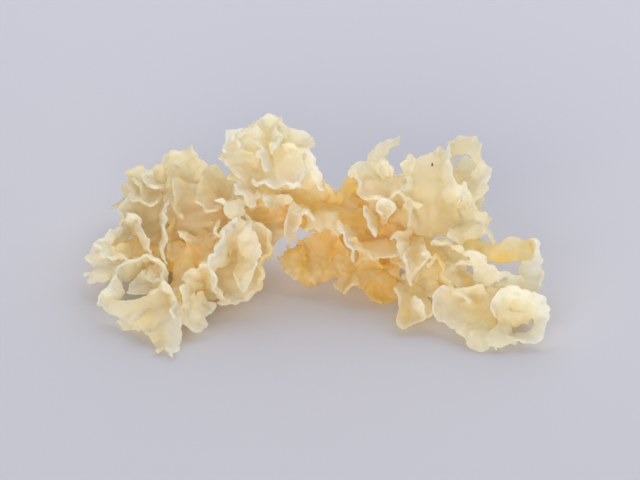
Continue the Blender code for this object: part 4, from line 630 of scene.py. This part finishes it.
class Skin:
    """One mesh in the making: points, faces and what its material reads at each point."""

    def __init__(self):
        self.points = []
        self.faces = []
        self.fields = {label: [] for label in FIELDS}
        self.count = 0

    def add(self, points, faces, **fields):
        """Adds points, the faces between them, and each field's values."""
        self.points.append(points)
        self.faces.append(faces + self.count)
        for label, values in fields.items():
            self.fields[label].append(np.broadcast_to(values, len(points)))
        self.count += len(points)

    def add_sheet(self, grid, gel, pale, tan):
        """A closed sheet along grid, with a thicker, rounded rim."""
        along, across, _ = grid.shape
        share = np.linspace(0, 1, along)
        rise = np.clip((share - 1 + LIP_SHARE) / LIP_SHARE, 0, 1)
        half = 0.5 * (SHEET + LIP * rise * rise * (3 - 2 * rise))[:, None, None]
        out = normals_of(grid)
        top, low = grid + half * out, grid - half * out
        size = along * across
        index = np.arange(size).reshape(along, across)
        a, b, c, d = index[:-1, :-1], index[:-1, 1:], index[1:, 1:], index[1:, :-1]
        upper = np.stack([a, b, c, d], axis=-1).reshape(-1, 4)
        lower = np.stack([a, d, c, b], axis=-1).reshape(-1, 4) + size

        ring = np.concatenate([index[0, :-1], index[:-1, -1], index[-1, :0:-1], index[:0:-1, 0]])
        border = grid.reshape(-1, 3)[ring]
        inward = grid[np.clip(ring // across, 1, along - 2), np.clip(ring % across, 1, across - 2)]
        away = border - inward
        away /= np.linalg.norm(away, axis=1, keepdims=True) + 1e-9
        edge = border + away * half.reshape(-1)[ring // across][:, None] * EDGE_ROUND
        here = np.arange(len(ring))
        then = (here + 1) % len(ring)
        edge_here, edge_then = 2 * size + here, 2 * size + then
        first = np.stack([ring[then], ring[here], edge_here, edge_then], axis=-1)
        second = np.stack([edge_then, edge_here, size + ring[here], size + ring[then]], axis=-1)

        points = np.concatenate([top.reshape(-1, 3), low.reshape(-1, 3), edge])
        rim = np.broadcast_to(pale * share[:, None], (along, across)).reshape(-1)
        rim = np.concatenate([rim, rim, rim[ring]])
        faces = np.concatenate([upper, lower, first, second])
        self.add(points, faces, rim=rim, gel=gel * (1 - RIM_CLEAR * rim**2), tan=tan)

    def add_limb(self, points, gel, tan):
        """A closed limb whose skin is folded in and out."""
        line = limb_line(points, LIMB_ROWS * len(points))
        rows, sides = len(line), LIMB_SIDES
        radii = limb_radii(points, rows) * LIMB_SIZE
        ahead = np.gradient(line, axis=0)
        ahead /= np.linalg.norm(ahead, axis=1, keepdims=True)
        first = np.cross(ahead, LIMB_ASIDE)
        first /= np.linalg.norm(first, axis=1, keepdims=True)
        second = np.cross(ahead, first)
        turns = 2 * math.pi * np.arange(sides) / sides
        cosines, sines = np.cos(turns)[None, :, None], np.sin(turns)[None, :, None]
        way = first[:, None] * cosines + second[:, None] * sines
        places = line[:, None] + way * radii[:, None, None]
        broad, fine = LIMB_FOLDS
        fold = ridged(broad * BROAD[0].at(places)) + 0.5 * ridged(fine * FINE[0].at(places))
        places = places + way * (LIMB_FOLD * fold)[:, :, None]

        index = np.arange(rows * sides).reshape(rows, sides)
        turned = np.roll(index, -1, axis=1)
        faces = [np.stack([index[:-1], turned[:-1], turned[1:], index[1:]], axis=-1).reshape(-1, 4)]
        for hub, ring in ((rows * sides, index[0][::-1]), (rows * sides + 1, index[-1])):
            middle = np.full(sides, hub)
            faces.append(np.stack([ring, np.roll(ring, -1), middle, middle], axis=-1))
        middles = np.stack([places[0].mean(axis=0), places[-1].mean(axis=0)])
        everything = np.concatenate([places.reshape(-1, 3), middles])
        self.add(everything, np.concatenate(faces), rim=0.0, gel=gel, tan=tan)

    def rest_on_ground(self):
        """Nothing reaches below the level that the piece rests on."""
        for points in self.points:
            points[:, 2] = np.maximum(points[:, 2], GROUND)

    def mesh(self, name):
        """The Blender mesh. A face whose last two corners are the same is a triangle."""
        points = np.concatenate(self.points) * MM
        faces = np.concatenate(self.faces)
        corners = [tuple(f) if f[2] != f[3] else tuple(f[:3]) for f in faces.tolist()]
        mesh = bpy.data.meshes.new(name)
        mesh.from_pydata(points.tolist(), [], corners)
        for label, values in self.fields.items():
            set_field(mesh, label, np.concatenate(values))
        return mesh


def set_field(mesh, label, values):
    """Gives each point of mesh a value for the material to read."""
    field = mesh.attributes.new(label, "FLOAT", "POINT")
    field.data.foreach_set("value", values.astype(np.float32))


def read(items, what, width, kind=np.float32):
    """What each of a mesh's items says of itself, width numbers each."""
    values = np.empty(len(items) * width, kind)
    items.foreach_get(what, values)
    return values.reshape(-1, width)


def limb_line(points, count):
    """count places along the middle of a limb."""
    return smooth_line([spot(*p[:3]) for p in points], count)


def limb_radii(points, count):
    """The limb's radius at those places."""
    return np.interp(np.linspace(0, 1, count), np.linspace(0, 1, len(points)), [p[3] for p in points])


def fan_lines(number, root, heading, lift, reach, width):
    """Rim and root of a frond that spreads from root on a heading."""
    heading, lift = math.radians(heading), math.radians(lift)
    level = math.cos(lift)
    ahead = np.array((math.cos(heading) * level, math.sin(heading) * level, math.sin(lift)))
    beside = np.array((-math.sin(heading), math.cos(heading), 0.0))
    across = np.cross(ahead, beside)
    rim = []
    for share in np.linspace(-0.5, 0.5, FAN_POINTS):
        lobe = 1 + FAN_LOBE * math.sin(FAN_LOBES[0] * share + FAN_LOBES[1] * number)
        wave = FAN_WAVE * math.sin(FAN_WAVES[0] * share + FAN_WAVES[1] * number)
        ahead_here = ahead * reach * lobe * math.cos(FAN_ROUND * share)
        point = root + ahead_here + beside * width * share + across * wave
        point[2] = max(point[2], FAN_FLOOR)
        rim.append(point)
    return rim, [root]


def add_fan(skin, number, seed, root, spread, form, gel, tan):
    """Adds a fan to skin: spread is its heading, lift, reach and width."""
    bulge, calm, pale = form
    rim, root = fan_lines(number, root, *spread)
    skin.add_sheet(frond_grid(rim, root, bulge, seed, HIDDEN_STEP, calm), gel, pale, tan)


def add_fillers(skin, points, gel, tan, seed):
    """Adds the fillers of a limb, behind it and below."""
    draw = np.random.default_rng(seed)
    line = limb_line(points, FILLER_STEPS)
    radii = limb_radii(points, FILLER_STEPS)
    for k in range(round(FILLERS * length_of(line))):
        place = draw.integers(0, FILLER_STEPS)
        heading, lift, reach, width = [draw.uniform(*span) for span in FILLER_SPREAD]
        spread = (heading, lift, radii[place] + reach, width)
        add_fan(skin, seed + k, FILLER_SEEDS * seed + k, line[place], spread, FILLER_FORM, gel, tan)


def placed(name, data):
    """A new object of the scene."""
    obj = bpy.data.objects.new(name, data)
    bpy.context.scene.collection.objects.link(obj)
    return obj


def fronds_piece(name, number):
    """One piece of the tuft: its traced fronds, its limbs and the fans that grow from them."""
    _, fronds, limbs, gel, pale, tan, limb_gel = PIECES[name]
    skin = Skin()
    seed = PIECE_SEEDS * number
    for frond, (rim, root, bulge) in fronds.items():
        rim, root = [spot(*p) for p in rim], [spot(*p) for p in root]
        grid = frond_grid(rim, root, bulge, seed, STEP, CALM.get(frond, 1.0))
        skin.add_sheet(grid, GEL_OF.get(frond, gel), PALE_OF.get(frond, pale), tan)
        seed += 1
    for limb in limbs:
        points = LIMBS[limb]
        skin.add_limb(points, limb_gel, tan)
        line = limb_line(points, FAN_STEPS + 1)
        for k, (share, *spread) in enumerate(FANS.get(limb, []), seed):
            root = line[round(FAN_STEPS * share)]
            add_fan(skin, k, k, root, spread, FAN_FORM, FAN_GEL * limb_gel, tan)
        if limb not in BARE_LIMBS:
            add_fillers(skin, points, FILLER_GEL * limb_gel, tan, seed)
        seed += LIMB_SEEDS
    skin.rest_on_ground()
    obj = placed(name, skin.mesh(name + "_sheets"))
    fuse(obj)
    return obj


def drop_crumbs(mesh):
    """Removes the loose specks that the fusing leaves inside and around the skin."""
    count = len(mesh.vertices)
    ends = read(mesh.edges, "vertices", 2, np.int32)
    island = np.arange(count)
    while True:
        joined = island.copy()
        np.minimum.at(joined, ends, island[ends].min(axis=1, keepdims=True))
        joined = joined[joined]
        if (joined == island).all():
            break
        island = joined
    loose = np.flatnonzero(np.bincount(island, minlength=count)[island] < CRUMB)
    form = bmesh.new()
    form.from_mesh(mesh)
    form.verts.ensure_lookup_table()
    bmesh.ops.delete(form, geom=[form.verts[index] for index in loose.tolist()], context="VERTS")
    form.to_mesh(mesh)
    form.free()


def fuse(obj):
    """Turns overlapping sheets into one skin, rounded where they meet.

    Each point of it takes what its material reads from the nearest point of the sheets.
    """
    sheets = obj.data
    tree = KDTree(len(sheets.vertices))
    for index, place in enumerate(read(sheets.vertices, "co", 3).tolist()):
        tree.insert(place, index)
    tree.balance()
    remesh = obj.modifiers.new("fuse", "REMESH")
    remesh.mode = "VOXEL"
    remesh.voxel_size = VOXEL * MM
    soften = obj.modifiers.new("soften", "SMOOTH")
    soften.iterations = SOFTEN
    mesh = bpy.data.meshes.new_from_object(obj.evaluated_get(bpy.context.evaluated_depsgraph_get()))
    obj.modifiers.clear()
    mesh.name = obj.name
    drop_crumbs(mesh)

    places = read(mesh.vertices, "co", 3)
    nearest = [tree.find(place)[1] for place in places.tolist()]
    for label in FIELDS:
        values = read(sheets.attributes[label].data, "value", 1)
        set_field(mesh, label, values[nearest].reshape(-1))
    relief = GRIT * SMALL.at(places / MM) + GRAIN * SMALLER.at(places / MM)
    places = places + read(mesh.vertex_normals, "vector", 3) * (relief * MM)[:, None]
    places[:, 2] = np.maximum(places[:, 2], GROUND * MM)
    mesh.vertices.foreach_set("co", places.astype(np.float32).reshape(-1))
    mesh.polygons.foreach_set("use_smooth", [True] * len(mesh.polygons))
    mesh.update()
    obj.data = mesh
    bpy.data.meshes.remove(sheets)


def add_node(tree, kind, inputs, **settings):
    """A new node with its settings, whose inputs are constants or the outputs of other nodes."""
    node = tree.nodes.new("ShaderNode" + kind)
    for setting, value in settings.items():
        setattr(node, setting, value)
    for label, value in inputs.items():
        if isinstance(value, bpy.types.NodeSocket):
            tree.links.new(value, node.inputs[label])
        else:
            node.inputs[label].default_value = value
    return node


def noise(tree, place, scale, detail):
    """The output of a noise texture."""
    inputs = {"Vector": place, "Scale": scale, "Detail": detail}
    return add_node(tree, "TexNoise", inputs).outputs["Fac"]


def remapped(tree, value, old, new):
    """value, with the range old stretched to the range new."""
    inputs = {"Value": value, "From Min": old[0], "From Max": old[1], "To Min": new[0], "To Max": new[1]}
    return add_node(tree, "MapRange", inputs).outputs["Result"]


def tinted(tree, colour, factor, tint, blend="MULTIPLY"):
    """colour, blended with a constant tint by factor."""
    inputs = {"A": colour, "B": tint, "Factor": factor}
    return add_node(tree, "Mix", inputs, data_type="RGBA", blend_type=blend).outputs["Result"]


def frond_material(name):
    """Dried fungus: ivory rims, amber where the frond is thick, light through it, painted shade on shaded
    fronds.
    """
    mat = bpy.data.materials.new(name)
    mat.use_nodes = True
    tree = mat.node_tree
    tree.nodes.clear()
    fields = [add_node(tree, "Attribute", {}, attribute_name=label) for label in FIELDS]
    rim, gel, tan = [node.outputs["Fac"] for node in fields]
    place = add_node(tree, "TexCoord", {}).outputs["Object"]

    ramp = add_node(tree, "ValToRGB", {"Fac": rim})
    ramp.color_ramp.elements[0].color = CORE
    ramp.color_ramp.elements[1].color = EDGE
    ramp.color_ramp.elements.new(FACE_AT).color = FACE
    # painted shade: fronds that lie in shade are darkened and greyed by their painted shade value
    shaded_colour = tinted(tree, ramp.outputs["Color"], tan, PAINTED_SHADE_TINT)

    cloud = remapped(tree, noise(tree, place, CLOUD_SCALE, CLOUD_DETAIL), CLOUD_NOISE, CLOUD_RANGE)
    amount = add_node(tree, "Math", {0: gel, 1: cloud}, operation="MULTIPLY").outputs[0]

    middle, ends = (spot(*SPECK) * MM).tolist(), [size * MM for size in SPECK_SIZE]
    away = add_node(tree, "VectorMath", {0: place, 1: middle}, operation="SUBTRACT")
    sized = add_node(tree, "VectorMath", {0: away.outputs[0], 1: ends}, operation="DIVIDE")
    reach = add_node(tree, "VectorMath", {0: sized.outputs[0]}, operation="LENGTH")
    speck = remapped(tree, reach.outputs["Value"], (1.0, SPECK_CORE), (0.0, 1.0))

    reflected, shining = [
        tinted(tree, tinted(tree, shaded_colour, amount, tint), speck, SPECK_COLOUR, "MIX")
        for tint in (AMBER_TINT, GLOW_TINT)
    ]
    grain = noise(tree, place, GRAIN_SCALE, GRAIN_DETAIL)
    bump = {"Strength": GRAIN_STRENGTH, "Distance": GRAIN_DEPTH, "Height": grain}
    shader = add_node(tree, "BsdfPrincipled", {
        "Base Color": reflected,
        "Roughness": ROUGHNESS,
        "Specular IOR Level": GLOSS,
        "Normal": add_node(tree, "Bump", bump).outputs["Normal"],
    })
    glow = add_node(tree, "BsdfTranslucent", {"Color": shining})
    mix = add_node(tree, "MixShader", {0: THROUGH, 1: shader.outputs[0], 2: glow.outputs[0]})
    add_node(tree, "OutputMaterial", {"Surface": mix.outputs[0]})
    return mat


def aim(obj, place, target):
    """Puts obj at a place in mm, and turns it to look at the target."""
    obj.location = Vector(place) * MM
    obj.rotation_euler = (Vector(target) - Vector(place)).to_track_quat("-Z", "Y").to_euler()


def lamp(name, place, size, power, colour):
    """A square lamp that shines on the piece."""
    light = bpy.data.lights.new(name, "AREA")
    light.size = size * MM
    light.energy = power
    light.color = colour
    aim(placed(name, light), place, LAMP_TARGET)


def floor():
    """The pale, dull level that the piece rests on."""
    mat = bpy.data.materials.new("pale_floor")
    mat.use_nodes = True
    shader = mat.node_tree.nodes["Principled BSDF"]
    shader.inputs["Base Color"].default_value = FLOOR_COLOUR
    shader.inputs["Roughness"].default_value = FLOOR_ROUGHNESS
    shader.inputs["Specular IOR Level"].default_value = FLOOR_GLOSS
    mesh = bpy.data.meshes.new("floor")
    half = 0.5 * FLOOR_WIDTH * MM
    corners = [(-half, -half, 0), (half, -half, 0), (half, half, 0), (-half, half, 0)]
    mesh.from_pydata(corners, [], [(0, 1, 2, 3)])
    mesh.materials.append(mat)
    obj = placed("floor", mesh)


def camera():
    """The photo's camera, far off with a long lens."""
    data = bpy.data.cameras.new("camera")
    data.lens = data.sensor_width * CAMERA_DISTANCE / VIEW_WIDTH
    data.clip_start, data.clip_end = CLIP
    obj = placed("camera", data)
    aim(obj, Vector(VIEW_MIDDLE) + Vector(TO_VIEWER) * CAMERA_DISTANCE, VIEW_MIDDLE)
    bpy.context.scene.camera = obj


def world():
    """The light of the room from all sides."""
    room = bpy.data.worlds.new("room")
    bpy.context.scene.world = room
    room.use_nodes = True
    background = room.node_tree.nodes["Background"]
    background.inputs["Color"].default_value = ROOM_COLOUR
    background.inputs["Strength"].default_value = ROOM_STRENGTH


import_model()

fronds = frond_material("dried_frond")
for number, name in enumerate(PIECES):
    piece = fronds_piece(name, number)
    piece.data.materials.append(fronds)
    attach(piece, "root")
    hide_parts(PIECES[name][0])

floor()
camera()
world()
for name, settings in LAMPS.items():
    lamp(name, *settings)
scene = bpy.context.scene
scene.view_settings.view_transform = "Standard"
scene.cycles.diffuse_bounces = SKIN_BOUNCES
scene.cycles.transmission_bounces = SKIN_BOUNCES
scene.cycles.max_bounces = ALL_BOUNCES
